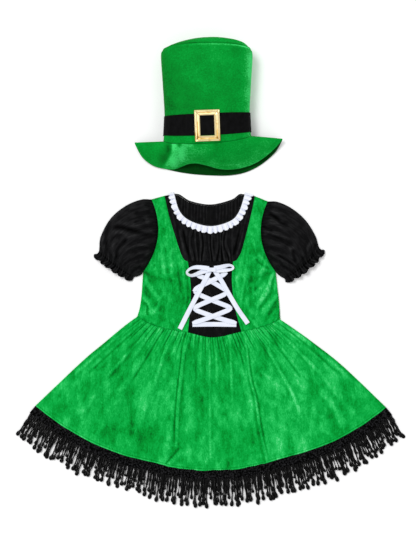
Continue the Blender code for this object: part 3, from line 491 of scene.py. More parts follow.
# The ridge value adds painted highlight on the frame's raised steps and painted shade in its hollows.
shade = scaled_sum(tree, streaks, (ridge, 0.4))
GOLD_STOPS = [(0.1, "#A06C22"), (0.68, "#FFE9B0"), (0.4, "#E6BC68")]
wire(tree, shader, ramp(tree, shade, GOLD_STOPS), streaks, 0.1, 0.2)
print("finishes:", len(bpy.data.materials))

# %% [markdown]
# These are the dress's outlines, in millimetres from the frame's origin. The front layer rests on the back
# layer, so its underside starts one wall and one seam's space above the surface.

# %% The dress's measures
CLOTH = 1.5
SEAM_SPACE = 0.3  # between any two pieces
SHOWN_WALL = 1.1  # the shells are a little thinner than the solids that they stand for
LOW = CLOTH + SEAM_SPACE
TOP = LOW + CLOTH
BODICE_LOFT = 3.2
ARMHOLE_LOFT = 9.0
PANEL_BULGE = 2.5
HEM_RADIUS = 602.0
HEM_CENTRE = np.array([4.0, 167.0])
# Where folds draw the hem up: share of the way across, how far to each side, and by how much
HemRise = namedtuple("HemRise", "across reach depth")
HEM_RISES = [HemRise(0.34, 0.07, 3), HemRise(0.70, 0.10, 5.5)]
GATHERS = 22
FINE_GATHERS = 58
GATHER_DEPTH = 1.9
YOKE_GATHERS = 10
BINDING = 3.0
BRAID = 20.0
WAIST = [
    (-160, -98.5), (-133, -114.2), (-95.5, -125.8), (-48.5, -133.5), (6.5, -144.2), (69, -131.5),
    (107, -123.2), (134.7, -114.2), (154, -104.5),
]
SIDES = {
    "left": [(-160, -98.5), (-154.2, -78), (-150.2, -48), (-147, 0.5)],
    "right": [(154, -104.5), (151.5, -66), (147.5, -31), (144, 0.5)],
}
FRONT_EDGES = {
    "left": [(-48.5, -133.5), (-44, -84), (-42, -33), (-48.5, 23)],
    "right": [(69, -131.5), (55, -79), (48, -22), (50.5, 23)],
}
V_EDGES = {
    "left": [
        (-48.5, 23), (-55.5, 26), (-61, 34), (-66, 46.2), (-78.7, 85.8), (-90.5, 125.4), (-100.2, 167.5),
    ],
    "right": [(50.5, 23), (57.5, 25.5), (63.3, 33.5), (69.4, 46.2), (79.8, 84), (90, 125.4), (98.8, 166.5)],
}
NECK_FRONT = [(-76.5, 172), (-64, 136), (-41, 115), (1.5, 104), (43, 115), (61.5, 136), (74, 171)]
NECK_BACK = [(-76.5, 172), (-66, 170), (-42, 156), (1.5, 148.5), (46, 158.8), (64.5, 171), (74, 171)]
SKIRT_SIDES = {
    "left": [(-160, -98.5), (-188.5, -119.5), (-231.5, -155), (-283, -198.5), (-383.5, -293.8)],
    "right": [(154, -104.5), (188.4, -128.2), (225.5, -154.8), (291.2, -206.4), (387, -297.5)],
}
BACK_MIDDLE = 1.5
Armhole = namedtuple("Armhole", "shoulder underarm bow")
ARMHOLES = {
    "left": Armhole((-128.5, 159.5), (-147, 0.5), 23.5),
    "right": Armhole((126.5, 155), (144, 0.5), -23.5),
}


def waist_part(start, end, at):
    line = smooth(WAIST, shares(400))
    x = start + np.asarray(at) * (end - start)
    return np.column_stack([x, np.interp(x, line[:, 0], line[:, 1])])


def curved_line(start, end, bow, at):
    """A line from start to end that bows to its left in the middle."""
    start, end = np.array(start), np.array(end)
    along = end - start
    normal = np.array([-along[1], along[0]]) / np.linalg.norm(along)
    at = np.asarray(at)[:, None]
    return start + at * along + bow * 4 * at * (1 - at) * normal


def armhole(side, at):
    hole = ARMHOLES[side]
    return curved_line(hole.shoulder, hole.underarm, hole.bow, 1.0 - np.asarray(at))


def hem_line(at, radius=HEM_RADIUS):
    """The hem between the skirt's corners, or a line that is as far from it as its radius says."""
    at = np.asarray(at)
    corners = [np.array(SKIRT_SIDES[side][-1]) - HEM_CENTRE for side in ("left", "right")]
    ends = [math.atan2(*corner) % (2 * math.pi) for corner in corners]
    angle = ends[0] + at * (ends[1] - ends[0])
    drawn_up = sum(rise.depth * bell(at - rise.across, rise.reach) for rise in HEM_RISES)
    return HEM_CENTRE + (radius - drawn_up)[:, None] * np.column_stack([np.sin(angle), np.cos(angle)])


# %% [markdown]
# The skirt is part of a ring, gathered on to the waist. Gathers are crowded and deep at the seam, and run
# out at different lengths, so a regular wave is broken up: each one wanders sideways and fades at its own
# rate. Long soft folds carry on to the hem, and the two seams down the skirt show as sharp lines.

# %% Skirt front
SkirtFold = namedtuple("SkirtFold", "across width height")
SKIRT_FOLDS = [SkirtFold(*fold) for fold in [
    (0.09, 0.020, 2.5), (0.18, 0.022, 3), (0.275, 0.020, 2.5), (0.375, 0.018, 3.4), (0.48, 0.022, 2.5),
    (0.57, 0.020, 2.5), (0.655, 0.018, 3.4), (0.75, 0.022, 3), (0.84, 0.020, 2.5), (0.925, 0.018, 3),
]]
SKIRT_CREASES = [
    Crease([(-54, -132), (-60, -200), (-67, -258), (-72, -320), (-75, -400)], 2.8, 1.7, 0.3),
    Crease([(-59, -140), (-65, -200), (-72.5, -260), (-77.5, -320), (-80, -390)], 1.8, -0.9),
    Crease([(-66, -386), (-84, -406), (-100, -424)], 1.5, -2.2),
    Crease([(-58, -388), (-76, -408), (-94, -428)], 5, 1.2),
    Crease([(75, -126), (88, -232), (98.5, -271), (112, -354), (144, -500)], 1.5, 2.2, 0.4),
    Crease([(80, -140), (92, -232), (103, -275), (116, -354), (135, -440)], 2.2, -1.5),
    Crease([(66, -150), (78, -240), (97, -340), (113, -420)], 7, 0.9),
    Crease([(60, -130), (70, -190), (80, -235)], 2.4, -1.2),
    Crease([(42, -133), (46, -200), (49, -290)], 3, 1.1),
    Crease([(14, -138), (14, -190), (16, -260)], 3.2, 1),
    Crease([(-2, -139), (-1, -210), (0, -330), (1, -430)], 2.2, 0.7),
    Crease([(-26, -134), (-30, -190), (-32, -250)], 3, -1),
    Crease([(-84, -127), (-104, -190), (-124, -255)], 3.4, 1.3),
    Crease([(-100, -122), (-138, -186), (-178, -250)], 3.4, -1.2),
    Crease([(-124, -114), (-176, -174), (-238, -242)], 3.6, 1.4),
    Crease([(-140, -108), (-206, -166), (-280, -236)], 3.2, -1.1),
    Crease([(-150, -104), (-226, -162), (-312, -238)], 3.6, 1.1),
    Crease([(104, -122), (136, -186), (178, -262), (206, -330)], 4, 1.5),
    Crease([(118, -116), (158, -176), (206, -240)], 3, -1.2),
    Crease([(132, -111), (184, -164), (252, -232)], 3.6, 1.3),
    Crease([(144, -106), (206, -156), (296, -236)], 3.2, -1),
    Crease([(150, -105), (236, -170), (330, -256)], 4, 1),
    Crease([(-210, -220), (-256, -276), (-296, -330)], 9, 1.6),
    Crease([(236, -250), (270, -296), (300, -350)], 9, 1.6),
]
# Grooves of the waist's gathers: share of the way across, length down the skirt and depth in mm
GROOVES = [
    (0.028, 90, 1.3), (0.073, 60, 1.6), (0.109, 55, 1.5), (0.132, 40, 1.1), (0.154, 50, 1.8),
    (0.174, 25, 1.2), (0.200, 30, 1.6), (0.225, 22, 1.1), (0.249, 45, 1.7), (0.270, 24, 1), (0.295, 30, 1.5),
    (0.328, 60, 2), (0.342, 26, 1.2), (0.363, 18, 1), (0.390, 40, 1.6), (0.417, 24, 1.1), (0.444, 18, 0.9),
    (0.467, 30, 1.2), (0.5055, 26, 2.2), (0.530, 18, 0.9), (0.562, 20, 1.1), (0.602, 34, 2.2),
    (0.630, 20, 1), (0.666, 44, 2.3), (0.687, 22, 1.1), (0.725, 24, 1.4), (0.745, 50, 1.8), (0.775, 26, 1.2),
    (0.806, 55, 1.8), (0.829, 24, 1), (0.851, 30, 1.5), (0.878, 46, 1.7), (0.910, 60, 1.6), (0.942, 40, 1.3),
    (0.974, 80, 1.4),
]
GROOVE_WIDTH = 0.0034
SKIRT_LENGTH = 295.0
HEM_DIP = [0.382, 0.648]  # shares along the hem between which it hangs a little lower
DIP_RUN = 0.012  # the share of the hem over which it comes down
SKIRT_COLUMNS = 420
CUT_AT_WAIST, CUT_AT_HEM, CUT_DEPTH = 470, 900, 300  # mm, half of the skirt's ring when it is flat


def from_ends(at, reach):
    """From 0 at either end to 1 over that share of the length."""
    return np.clip(np.minimum(at, 1 - at) / reach, 0, 1)


def skirt_loft(across, down):
    """How high the front of the skirt stands off its back."""
    rise = arch(from_ends(across, 0.07) / 2, 0.9)
    body = np.interp(down, [0.0, 0.3, 1.0], [3.2, 3.5, 2.2])
    wander = across + 0.006 * soft_noise(across * 17, down * 3, 5)
    length = 0.20 * (1.0 + 0.55 * soft_noise(across * 23, np.zeros_like(across), 9))
    depth = 0.55 * GATHER_DEPTH * (1.0 + 0.6 * soft_noise(across * 31, np.zeros_like(across), 2))
    gathers = depth * np.cos(2 * np.pi * GATHERS * wander) * np.exp(-down / length)
    finest = 0.5 * np.cos(2 * np.pi * FINE_GATHERS * wander + 4 * soft_noise(across * 19, down * 4, 6))
    gathers += finest * (1.0 + soft_noise(across * 27, down * 2, 7)) * np.exp(-down / 0.12)
    grooves = 0.0 * wander
    for place, length, depth in GROOVES:
        fade = ease(1.25 - down * SKIRT_LENGTH / length) * ease(0.35 + down * 40)
        grooves -= depth * fade * bell(wander - place, GROOVE_WIDTH)
    seam = -0.35 * bell(down, 0.006)
    folds = sum(
        fold.height * (0.25 + 0.75 * down) * bell(across - fold.across, fold.width) for fold in SKIRT_FOLDS
    )
    return rise * (body + gathers + grooves + seam + folds)


def skirt_rows(across, down, hem_drop=0.0):
    sides = [smooth(SKIRT_SIDES[side], down) for side in ("left", "right")]
    begun, ended = (ease((across - place + DIP_RUN / 2) / DIP_RUN) for place in HEM_DIP)
    longer = 1 + hem_drop * (begun - ended) / HEM_RADIUS
    hem = HEM_CENTRE + (hem_line(across) - HEM_CENTRE) * longer[:, None]
    return patch(smooth(WAIST, across), hem, *sides, down)


def ring_part(u, v):
    """The flat cut of half the skirt."""
    return np.dstack([(u - 0.5) * (CUT_AT_WAIST + (CUT_AT_HEM - CUT_AT_WAIST) * v), -v * CUT_DEPTH])


across = shares(SKIRT_COLUMNS)
# The rows are close together at the gathers and at the hem.
near_waist = np.linspace(0.0, 0.16, 34, endpoint=False)
between = np.linspace(0.16, 0.96, 54, endpoint=False)
down = np.r_[near_waist, between, np.linspace(0.96, 1.0, 15)]
plan = skirt_rows(across, down, 1.4)
u, v = np.meshgrid(across, down)
height = TOP + skirt_loft(u, v)
# The hem is turned up and stitched 3 mm from its edge, which leaves a small roll and a groove.
from_edge = (1.0 - v) * SKIRT_LENGTH
height += 0.55 * bell(from_edge - 1.2, 1.1) - 0.7 * bell(from_edge - 3.4, 0.7)
height += 0.35 * soft_noise(u * 46, v * 9, 21) * ease(v / 0.1) + 0.2 * soft_noise(u * 110, v * 30, 22)
plan[0] += (0.0, 0.6)  # the top edge lies under the bodice's
rows = creased(np.dstack([plan, height]), SKIRT_CREASES)
rows[..., 2] = np.maximum(rows[..., 2], TOP + 0.2 * arch(from_ends(u, 0.05) / 2))
skirt_front = lay(
    "skirt_front_cloth", rows, ring_part(u, v), SHOWN_WALL, dress_velvet, relief_shade=(5, 4, 0.7),
    paleness=pile_and_shade(rows),
)
declare(skirt_front, "skirt_front")

# %% [markdown]
# The back of the dress lies flat on the surface, under everything else. It is seen only through the neck
# and at the edges, so it is plain, but it is cut from the same cloths.

# %% Dress back
def flat_rows(plan):
    return np.dstack([plan, np.full(plan.shape[:2], CLOTH)])


rows = flat_rows(skirt_rows(shares(80), shares(16)))
u, v = np.meshgrid(shares(80), shares(16))
skirt_back = lay("skirt_back_cloth", rows, ring_part(u, v), CLOTH, dress_velvet)
declare(skirt_back, "skirt_back")

SIDE_ROWS, ARMHOLE_ROWS = 5, 14
EDGE_ROWS, V_ROWS = 7, 12
FINER = 6  # rows of the shown cloth for each row of the solid
NECK_GATHER = 7.0  # mm from one gather to the next
NECK_STEPS = 60  # for each half of the back's neck, about 1.4 mm each


def inner_edge(side):
    """The line of a side panel's seams with the insert and the yoke, from the waist to the shoulder."""
    seam = smooth(FRONT_EDGES[side], shares(EDGE_ROWS * FINER))
    return joined(seam, smooth(V_EDGES[side], shares(V_ROWS * FINER)))


def side_plan(side, columns):
    """A side panel in plan, from the side seam and the armhole across to its inner edge."""
    seam = smooth(SIDES[side], shares(SIDE_ROWS * FINER))
    outer, inner = joined(seam, armhole(side, shares(ARMHOLE_ROWS * FINER))), inner_edge(side)
    waist = waist_part(outer[0, 0], inner[0, 0], shares(columns))
    top = np.linspace(outer[-1], inner[-1], columns + 1)
    return patch(waist, top, outer, inner, shares(len(outer) - 1))


for side in ("left", "right"):
    rows = flat_rows(side_plan(side, 24))
    piece = lay(f"back_side_{side}_cloth", rows, plan_cut(rows), CLOTH, dress_velvet)
    declare(piece, f"back_side_{side}")


def panel_neck(points, at):
    """The edge of a panel that is sewn to the neck's binding."""
    fine = shares(200)
    line = beside(smooth(points, fine), -BINDING - SEAM_SPACE)
    return np.stack([np.interp(at, fine, line[:, k]) for k in range(2)], axis=1)


for side in ("left", "right"):
    outer = inner_edge(side)
    half = np.linspace(0.0 if side == "left" else 1.0, 0.5, NECK_STEPS + 1)
    neck = panel_neck(NECK_BACK, half)
    neck[-1, 0] = BACK_MIDDLE + (-0.2 if side == "left" else 0.2)
    top = joined(np.linspace(outer[-1], neck[0], 10), neck)
    waist = waist_part(outer[0, 0], neck[-1, 0], shares(len(top) - 1))
    middle = np.linspace(waist[-1], top[-1], len(outer))
    plan = patch(waist, top, outer, middle, shares(len(outer) - 1))
    rows = flat_rows(plan)
    u, v = np.meshgrid(shares(len(top) - 1), shares(len(outer) - 1))
    # The gathers into the neck binding fade out about 80 mm down the back.
    gathers = np.cos(2 * np.pi * rows[..., 0] / NECK_GATHER + 1.5 * soft_noise(u * 9, v * 4, 31))
    rows[..., 2] += 0.28 * (gathers - 1.0) * ease((v - 0.72) / 0.2)
    piece = lay(f"back_centre_{side}_cloth", rows, plan_cut(rows), SHOWN_WALL - 0.3, jersey)
    declare(piece, f"back_centre_{side}")

# %% [markdown]
# The green side panels run up into the shoulder straps. They rise to the armhole, where the sleeve's head
# lifts them, and they pucker at the waist and under the arm, where the seams pull.

# %% Front side panels
PANEL_CREASES = {
    "left": [
        Crease([(-145, 0), (-138.5, -22), (-126, -43)], 3.8, 2.2),
        Crease([(-123, -42), (-112, -64), (-117, -80), (-133, -97)], 3.8, 1.8),
        Crease([(-151, -54), (-141, -63), (-133.5, -75), (-126, -86)], 2.6, 2.6),
        Crease([(-153, -61), (-142, -69), (-137, -78), (-138, -89), (-132, -99)], 2.2, -2.4),
        Crease([(-148, -26), (-138, -46), (-126, -62)], 5, -1.5),
        Crease([(-109, 84), (-106, 40), (-103, -10)], 4, 1.5),
        Crease([(-98, 64), (-95.5, 20), (-92, -12)], 3.6, -1.3),
        Crease([(-87, 56), (-84.5, 18), (-81, -14)], 4, 1.4),
        Crease([(-96, 146), (-88, 93), (-82, 28)], 3.6, 1.1),
        Crease([(-104, 140), (-99, 92), (-94, 44)], 3.4, -1),
        Crease([(-62, 34), (-57, -16), (-51, -70)], 3, 1.5),
        Crease([(-74, 40), (-70, 0), (-63, -56)], 3.6, -1),
    ],
    "right": [
        Crease([(102, 44), (118, 26), (136, 12)], 3.4, 1.6),
        Crease([(98, 32), (114, 16), (134, 4)], 3.2, -1.4),
        Crease([(128, 34), (118, 10), (105, -11)], 4, 1.6),
        Crease([(149, 8), (136, -10), (126, -36), (113, -62), (100, -77)], 3.4, 2.4),
        Crease([(144, -2), (138, -22), (135, -44), (120, -67), (104, -84)], 3, -2.2),
        Crease([(130, 10), (116, -19), (94, -46)], 5, -1.4),
        Crease([(152, -42), (144, -57), (134, -70), (123, -87)], 2.8, 2.2),
        Crease([(151, -58), (138.5, -79), (126, -98)], 4, -1.8),
        Crease([(152.5, -78), (147.5, -92), (144, -106)], 2, 1.8),
        Crease([(85, -98), (97, -112), (109, -126)], 3, 1.5),
        Crease([(90, 96), (96, 66), (103, 36)], 3.4, 1.2),
        Crease([(80, 92), (78, 40), (70, -12)], 3.6, -0.9),
        Crease([(79, 10), (73, -34), (66, -76)], 3.4, 1.2),
        Crease([(92, 0), (88, -40), (90, -84)], 5, -0.9),
        Crease([(104, 150), (100, 110), (98, 76)], 3.2, 1),
    ],
}
PANEL_COLUMNS = 96


def side_heights(up, across):
    """How far a front side panel is lifted, as its solid is: four edges of their own, and a bulge."""
    waist_end = SIDE_ROWS / (SIDE_ROWS + ARMHOLE_ROWS)
    outer = ARMHOLE_LOFT * arch(np.clip((up - waist_end) / (1 - waist_end), 0, 1)) * (up > waist_end)
    inner_rows = EDGE_ROWS + V_ROWS
    strap = np.clip((up - EDGE_ROWS / inner_rows) * inner_rows / V_ROWS, 0, 1)
    inner = BODICE_LOFT * np.cos(np.pi / 2 * strap) ** 0.7
    bottom = BODICE_LOFT * np.sin(np.pi / 2 * across) ** 0.7
    sides = (1 - across) * outer + across * inner
    bulge = PANEL_BULGE * arch(up, 1.0) * arch(across, 1.0)
    return sides + (1 - up) * (bottom - across * BODICE_LOFT) + bulge


for side in ("left", "right"):
    plan = side_plan(side, PANEL_COLUMNS)
    u, v = np.meshgrid(shares(PANEL_COLUMNS), shares(len(plan) - 1))
    height = TOP + side_heights(v, u)
    rows = creased(np.dstack([plan, height]), PANEL_CREASES[side])
    soft = ease(from_ends(u, 0.06))
    rows[..., 2] = height + (rows[..., 2] - height) * soft
    x, y = rows[..., 0], rows[..., 1]
    rows[..., 2] += soft * (0.5 * soft_noise(x / 9, y / 15, 41) + 0.25 * soft_noise(x / 4, y / 7, 42))
    # Turned edges roll over beside the yoke and the armhole.
    rows[..., 2] += 0.5 * bell(1 - u, 0.02) - 0.35 * bell(1 - u - 0.06, 0.02)
    rows[..., 2] = np.maximum(rows[..., 2], TOP)
    piece = lay(
        f"front_side_{side}_cloth", rows, plan_cut(rows), SHOWN_WALL, dress_velvet, relief_shade=(4, 6, 0.8),
        paleness=pile_and_shade(rows) - 0.15,
    )
    declare(piece, f"front_side_{side}")

# %% [markdown]
# The yoke is jersey gathered between the neck and the bust seam. Its gathers are the deepest at the seam,
# and most run the whole way up. The stretches beside the straps carry only a few soft folds, listed one by
# one.

# %% Yoke and insert
STRAP_ROWS = V_ROWS * 5
YOKE_COLUMNS = 4 * YOKE_GATHERS * 6
YOKE_CREASES = [
    Crease([(-86, 146), (-80, 118), (-73, 92)], 2.4, 0.7),
    Crease([(-70, 100), (-62, 66), (-52.5, 32)], 2.4, 0.9),
    Crease([(-61, 102), (-53.5, 64), (-45.5, 32)], 2.2, -0.8),
    Crease([(84, 140), (78, 114), (72, 88)], 2.4, 0.7),
    Crease([(76, 100), (66, 60), (56, 32)], 2.4, 0.9),
    Crease([(69, 108), (60, 72), (51, 32)], 2.2, -0.8),
]
strap = shares(STRAP_ROWS)
base = np.linspace(V_EDGES["left"][0], V_EDGES["right"][0], YOKE_COLUMNS + 1)
outer = joined(smooth(V_EDGES["left"], strap)[::-1], base, smooth(V_EDGES["right"], strap))
rise = BODICE_LOFT * np.cos(np.pi / 2 * strap) ** 0.7
outer_height = np.r_[rise[::-1], np.full(YOKE_COLUMNS - 1, BODICE_LOFT), rise]
neck_share = np.r_[
    np.linspace(0.0, 0.27, STRAP_ROWS + 1),
    np.linspace(0.27, 0.73, YOKE_COLUMNS + 1)[1:],
    np.linspace(0.73, 1.0, STRAP_ROWS + 1)[1:],
]
neck = panel_neck(NECK_FRONT, neck_share)
up = shares(40)
plan = (1 - up)[:, None, None] * outer[None] + up[:, None, None] * neck[None]
u, v = np.meshgrid(shares(len(outer) - 1), up)
height = TOP + (1 - v) * outer_height + v * BODICE_LOFT * arch(neck_share, 0.7)
gathered = np.zeros(len(outer))
gathered[STRAP_ROWS : STRAP_ROWS + YOKE_COLUMNS + 1] = arch(shares(YOKE_COLUMNS), 0.3)
turn = (np.arange(len(outer)) - STRAP_ROWS) / YOKE_COLUMNS * YOKE_GATHERS
phase = 2 * np.pi * turn[None] + 4.5 * soft_noise(u * 13, v * 2, 51)
deep = 1.0 + soft_noise(u * 21, v * 1.6, 52)
height += gathered * (1.0 - 0.6 * v) * deep * np.cos(phase) * 0.75
height += gathered * 0.3 * np.cos(2.4 * phase) * (0.35 + 0.65 * np.abs(2 * v - 1))
height -= 0.5 * gathered * bell(v, 0.03)
rows = creased(np.dstack([plan, np.maximum(height, TOP - 0.2)]), YOKE_CREASES)
yoke = lay("front_yoke_cloth", rows, plan_cut(rows), SHOWN_WALL, jersey, relief_shade=(3, 12, 0.7))
declare(yoke, "front_yoke")

up, steps = shares(EDGE_ROWS * FINER), shares(40)
left, right = smooth(FRONT_EDGES["left"], up), smooth(FRONT_EDGES["right"], up)
waist = waist_part(left[0, 0], right[0, 0], steps)
plan = patch(waist, np.linspace(left[-1], right[-1], len(steps)), left, right, up)
u, v = np.meshgrid(steps, up)
height = TOP + BODICE_LOFT + 0.25 * soft_noise(u * 5, v * 6, 61)
height -= 0.3 * arch(u, 0.5) * bell(v - 0.98, 0.02)
rows = np.dstack([plan, height])
insert = lay("front_insert_cloth", rows, plan_cut(rows), SHOWN_WALL, jersey)
declare(insert, "front_insert")

# %% [markdown]
# A narrow black binding finishes the neck, front and back, and a zip tape shows down the middle of the back.
# Both are folded strips, so their sections are rounded.

# %% Neck bindings and zip tape
def rounded_strip(line, width, heights, crown, count):
    """Rows of points across a strip that is higher by crown along its middle."""
    rows = []
    for share in shares(count):
        side = beside(line, width * (share - 0.5))
        rows.append(np.column_stack([side, heights + crown * arch(share, 0.7)]))
    return np.array(rows)


def strip_cut(rows):
    """The flat cut of a narrow strip: the length along it, and the distance across."""
    middle = rows[len(rows) // 2]
    along = np.r_[0.0, np.cumsum(np.linalg.norm(np.diff(middle, axis=0), axis=1))]
    across = np.linalg.norm(rows - rows[:1], axis=2)
    return np.dstack([across, np.broadcast_to(along, across.shape)])


at = shares(160)
neck = beside(smooth(NECK_FRONT, at), -BINDING / 2)
rows = rounded_strip(neck, BINDING, LOW + 1.0 + BODICE_LOFT * arch(at, 0.7), 1.0, 6)
piece = lay("neck_binding_front_cloth", rows, strip_cut(rows), 0.9, jersey)
declare(piece, "neck_binding_front")
neck = beside(smooth(NECK_BACK, at), -BINDING / 2)
rows = rounded_strip(neck, BINDING, np.full(len(at), 1.0), 0.5, 6)
piece = lay("neck_binding_back_cloth", rows, strip_cut(rows), 0.9, jersey)
declare(piece, "neck_binding_back")
ZIP_WIDTH, ZIP_FROM, ZIP_TO = 14.5, 142.0, -60.0
zip_line = np.linspace((BACK_MIDDLE, ZIP_FROM), (BACK_MIDDLE, ZIP_TO), 60)
rows = rounded_strip(zip_line, ZIP_WIDTH, np.full(len(zip_line), LOW + 0.55), 0.35, 16)
rows[..., 2] += 0.25 * bell(rows[..., 0] - BACK_MIDDLE, 1.2)
piece = lay("back_zip_tape", rows, strip_cut(rows), 0.5, grosgrain)
declare(piece, "back_zip")

# %% [markdown]
# Later pieces lie on these ones, so their heights are read off the cloth with a ray cast straight down.

# %% Reading heights
class Surface:
    """The heights of pieces that others lie on."""

    def __init__(self, names):
        graph = bpy.context.evaluated_depsgraph_get()
        corners, faces = [], []
        for name in names:
            mesh = bpy.data.objects[name].evaluated_get(graph).to_mesh()
            first = len(corners)
            corners += [v.co.copy() for v in mesh.vertices]
            faces += [[first + v for v in face.vertices] for face in mesh.polygons]
        self.tree = BVHTree.FromPolygons(corners, faces)

    def top(self, x, y, spread=0.0):
        heights = [TOP]
        for right, above in ((0, 0), (-1, 0), (1, 0), (0, -1), (0, 1)):
            over = Vector(((x + right * spread) * MM, (y + above * spread) * MM, 0.5))
            hit = self.tree.ray_cast(over, Vector((0.0, 0.0, -1.0)))[0]
            if hit:
                heights.append(hit.z / MM)
        return max(heights)

    def tops(self, line, spread):
        return np.array([self.top(x, y, spread) for x, y in line[:, :2]])


bpy.context.view_layer.update()
bodice = Surface([
    "front_side_left_cloth", "front_side_right_cloth", "front_yoke_cloth", "front_insert_cloth",
    "neck_binding_front_cloth",
])

# %% [markdown]
# The frill is white lace gathered on its inner edge. Its outer edge has a scallop for each flute, and the
# flutes stand higher towards it, because there the lace has more length than the line it follows.

# %% Neck frill
FRILL_FLUTES = 22
FRILL_ROWS = 14
FRILL_LINE = [(-76.5, 177.0), *NECK_FRONT[1:-1], (74.5, 176.5)]
columns = shares(14 * FRILL_FLUTES)  # 14 for each flute
line = smooth(FRILL_LINE, columns)
width = np.interp(columns, [0.0, 0.2, 0.5, 0.8, 0.93, 1.0], [14.0, 13.0, 16.5, 14.0, 15.5, 19.0])
wander = 0.9 * soft_noise(columns * 37, np.zeros_like(columns), 71)
phase = 2 * np.pi * FRILL_FLUTES * columns + wander
outwards = -side_normals(line)
under = np.array([bodice.tops(line + outwards * far, 2.5) for far in (4.0, 9.0, 15.0)])
rows = []
for share in shares(FRILL_ROWS):
    lobe = np.abs(np.cos(phase / 2 + 0.35 * soft_noise(columns * 60, columns, 72))) ** 0.8
    scallop = ease((share - 0.3) / 0.7) * (4.4 * lobe - 3.0)
    nibble = 0.35 * share**4 * np.cos(4 * phase)
    far = BINDING + 0.4 + share * (width - 1.0) + scallop + nibble
    rest = np.array([np.interp(share, [0.0, 0.5, 1.0], under[:, k]) for k in range(len(columns))])
    rest = evened(rest, 10)
    gather = 0.9 * np.cos(phase) + 0.5 * np.cos(3 * phase + 4 * soft_noise(columns * 30, columns, 73))
    lift = 0.9 + (0.25 + 0.75 * share) * (1.0 + gather)
    rows.append(np.column_stack([line + outwards * far[:, None], rest + lift]))
rows = np.array(rows)
# Its cut is 420 mm long before it is gathered, and 15 mm deep.
frill_cut = np.dstack(np.meshgrid(columns * 420.0, shares(FRILL_ROWS) * 15.0))
frill = lay("neck_frill_lace", rows, frill_cut, 0.6, lace, relief_shade=(2, 6, 0.6))
declare(frill, "neck_frill")

# %% [markdown]
# A puff sleeve is a tube gathered into the armhole and again on elastic at the cuff. It is made from rings,
# each a line across the sleeve with a front that stands up and a back that lies on the surface. A table
# gives a few of them, and smooth curves through the table give the rest.

# %% Sleeves
Line = namedtuple("Line", "outer inner bow loft gathers")
SLEEVES = {
    "left": [
        Line((-152, 159), (-151, -5.5), 17, 27, 1.6),
        Line((-186, 145), (-155, -8), 9, 36, 0.6),
        Line((-219, 117), (-159, -9.5), 2, 37, 0),
        Line((-240.5, 77), (-163, -10.5), -4, 29, 0.8),
        Line((-244.5, 45), (-167, -12), -3, 13, 1.4),
        Line((-257, 36.5), (-173, -21), -4, 15, 3),
    ],
    "right": [
        Line((149, 154), (149, -5), -16, 27, 1.6),
        Line((179.5, 140), (152.5, -8), -9, 36, 0.6),
        Line((209.5, 114.5), (156, -10.5), -2, 37, 0),
        Line((231.5, 80), (159.5, -12.5), 5, 29, 0.8),
        Line((240.5, 53), (163.5, -14.5), 6, 13, 1.4),
        Line((253.5, 46.5), (168.5, -24.5), 8, 15, 3),
    ],
}
SLEEVE_CREASES = {
    "left": [
        Crease([(-182.4, 139.7), (-168.4, 140.4), (-154.4, 143.9), (-138.9, 150.9)], 3.4, 1.6),
        Crease([(-168, 128.5), (-148.7, 131.3), (-125, 134)], 5, -2.4),
        Crease([(-168, 108), (-154.4, 110.2), (-138, 114)], 4.5, -2.2),
        Crease([(-224, 95), (-196.4, 97.6), (-176.8, 92.7), (-155.7, 87.1), (-116, 78)], 6, -3.6),
        Crease([(-222, 46), (-214.7, 68.2), (-204.8, 78.8), (-192.2, 80.8), (-184, 76)], 3, -1.4),
        Crease([(-216, 34), (-209, 61.2), (-196.4, 72.4)], 4.5, 2.4),
        Crease([(-206.5, 20), (-202, 45.8), (-195, 57), (-185.2, 68.2), (-185, 80)], 4.5, -3.4),
        Crease([(-188, 44), (-168.4, 54.8), (-148.7, 58.3), (-122, 54)], 2.6, 1.6),
        Crease([(-196, 8), (-176.8, 23.3), (-158.6, 31.7), (-134, 44)], 4, -2.2),
        Crease([(-176, -3), (-162.7, 6.4), (-148, 14)], 4, -2.4),
        Crease([(-218, 116), (-225.9, 82.2), (-226.6, 59.8), (-221, 32)], 5.5, -2.8),
        Crease([(-234, 86), (-236, 62), (-232, 38)], 4, 2),
    ],
    "right": [
        Crease([(128, 148.6), (150, 147), (168, 139)], 3.4, 1.4),
        Crease([(122, 134), (137.3, 124.5), (147.2, 116.1), (155.6, 107.6), (174, 105)], 4.5, -2.8),
        Crease([(126, 116), (142.9, 104.8), (155.6, 95), (174, 87)], 4.5, 1.8),
        Crease([(114, 104), (126.1, 93.6), (140, 90)], 3.6, -2),
        Crease([(118, 86), (137.3, 78.2), (154.2, 71.2), (168.2, 64.2), (184, 53)], 5.5, -3.4),
        Crease([(134, 37), (155.6, 26.3), (174, 14)], 3.2, 1.6),
        Crease([(142, 40), (163.9, 27.7), (178, 17.8), (192, 8)], 3.2, -2.4),
        Crease([(150, 18), (168.2, 8.1), (182, -2)], 3.2, -2),
        Crease([(180, 52), (182.3, 36.1), (188, 18)], 4, -2.4),
        Crease([(224, 72), (214.5, 54.3), (213.2, 40.3), (216, 22)], 3.8, 2.4),
        Crease([(232, 66), (227, 46), (221, 28)], 4.2, -2.8),
        Crease([(201, 36), (204, 27), (210, 14)], 3.2, -1.8),
    ],
}
SLEEVE_GATHERS = 7
CUFF_FLUTES = 7
# Small waves across the sleeve: at the armhole, at the elastic and in the frill past it
HEAD_TUCKS, SHIRRING, FRILL_WAVES = 24, 17, 15
SLEEVE_RINGS = 110
RING_FRONT = 168
RING_BACK = 28
CUFF_AT = 5 / 6  # the share of the sleeve at which its elastic is
ALONG = 30  # the share of the way along the sleeve goes into the smooth curve times this


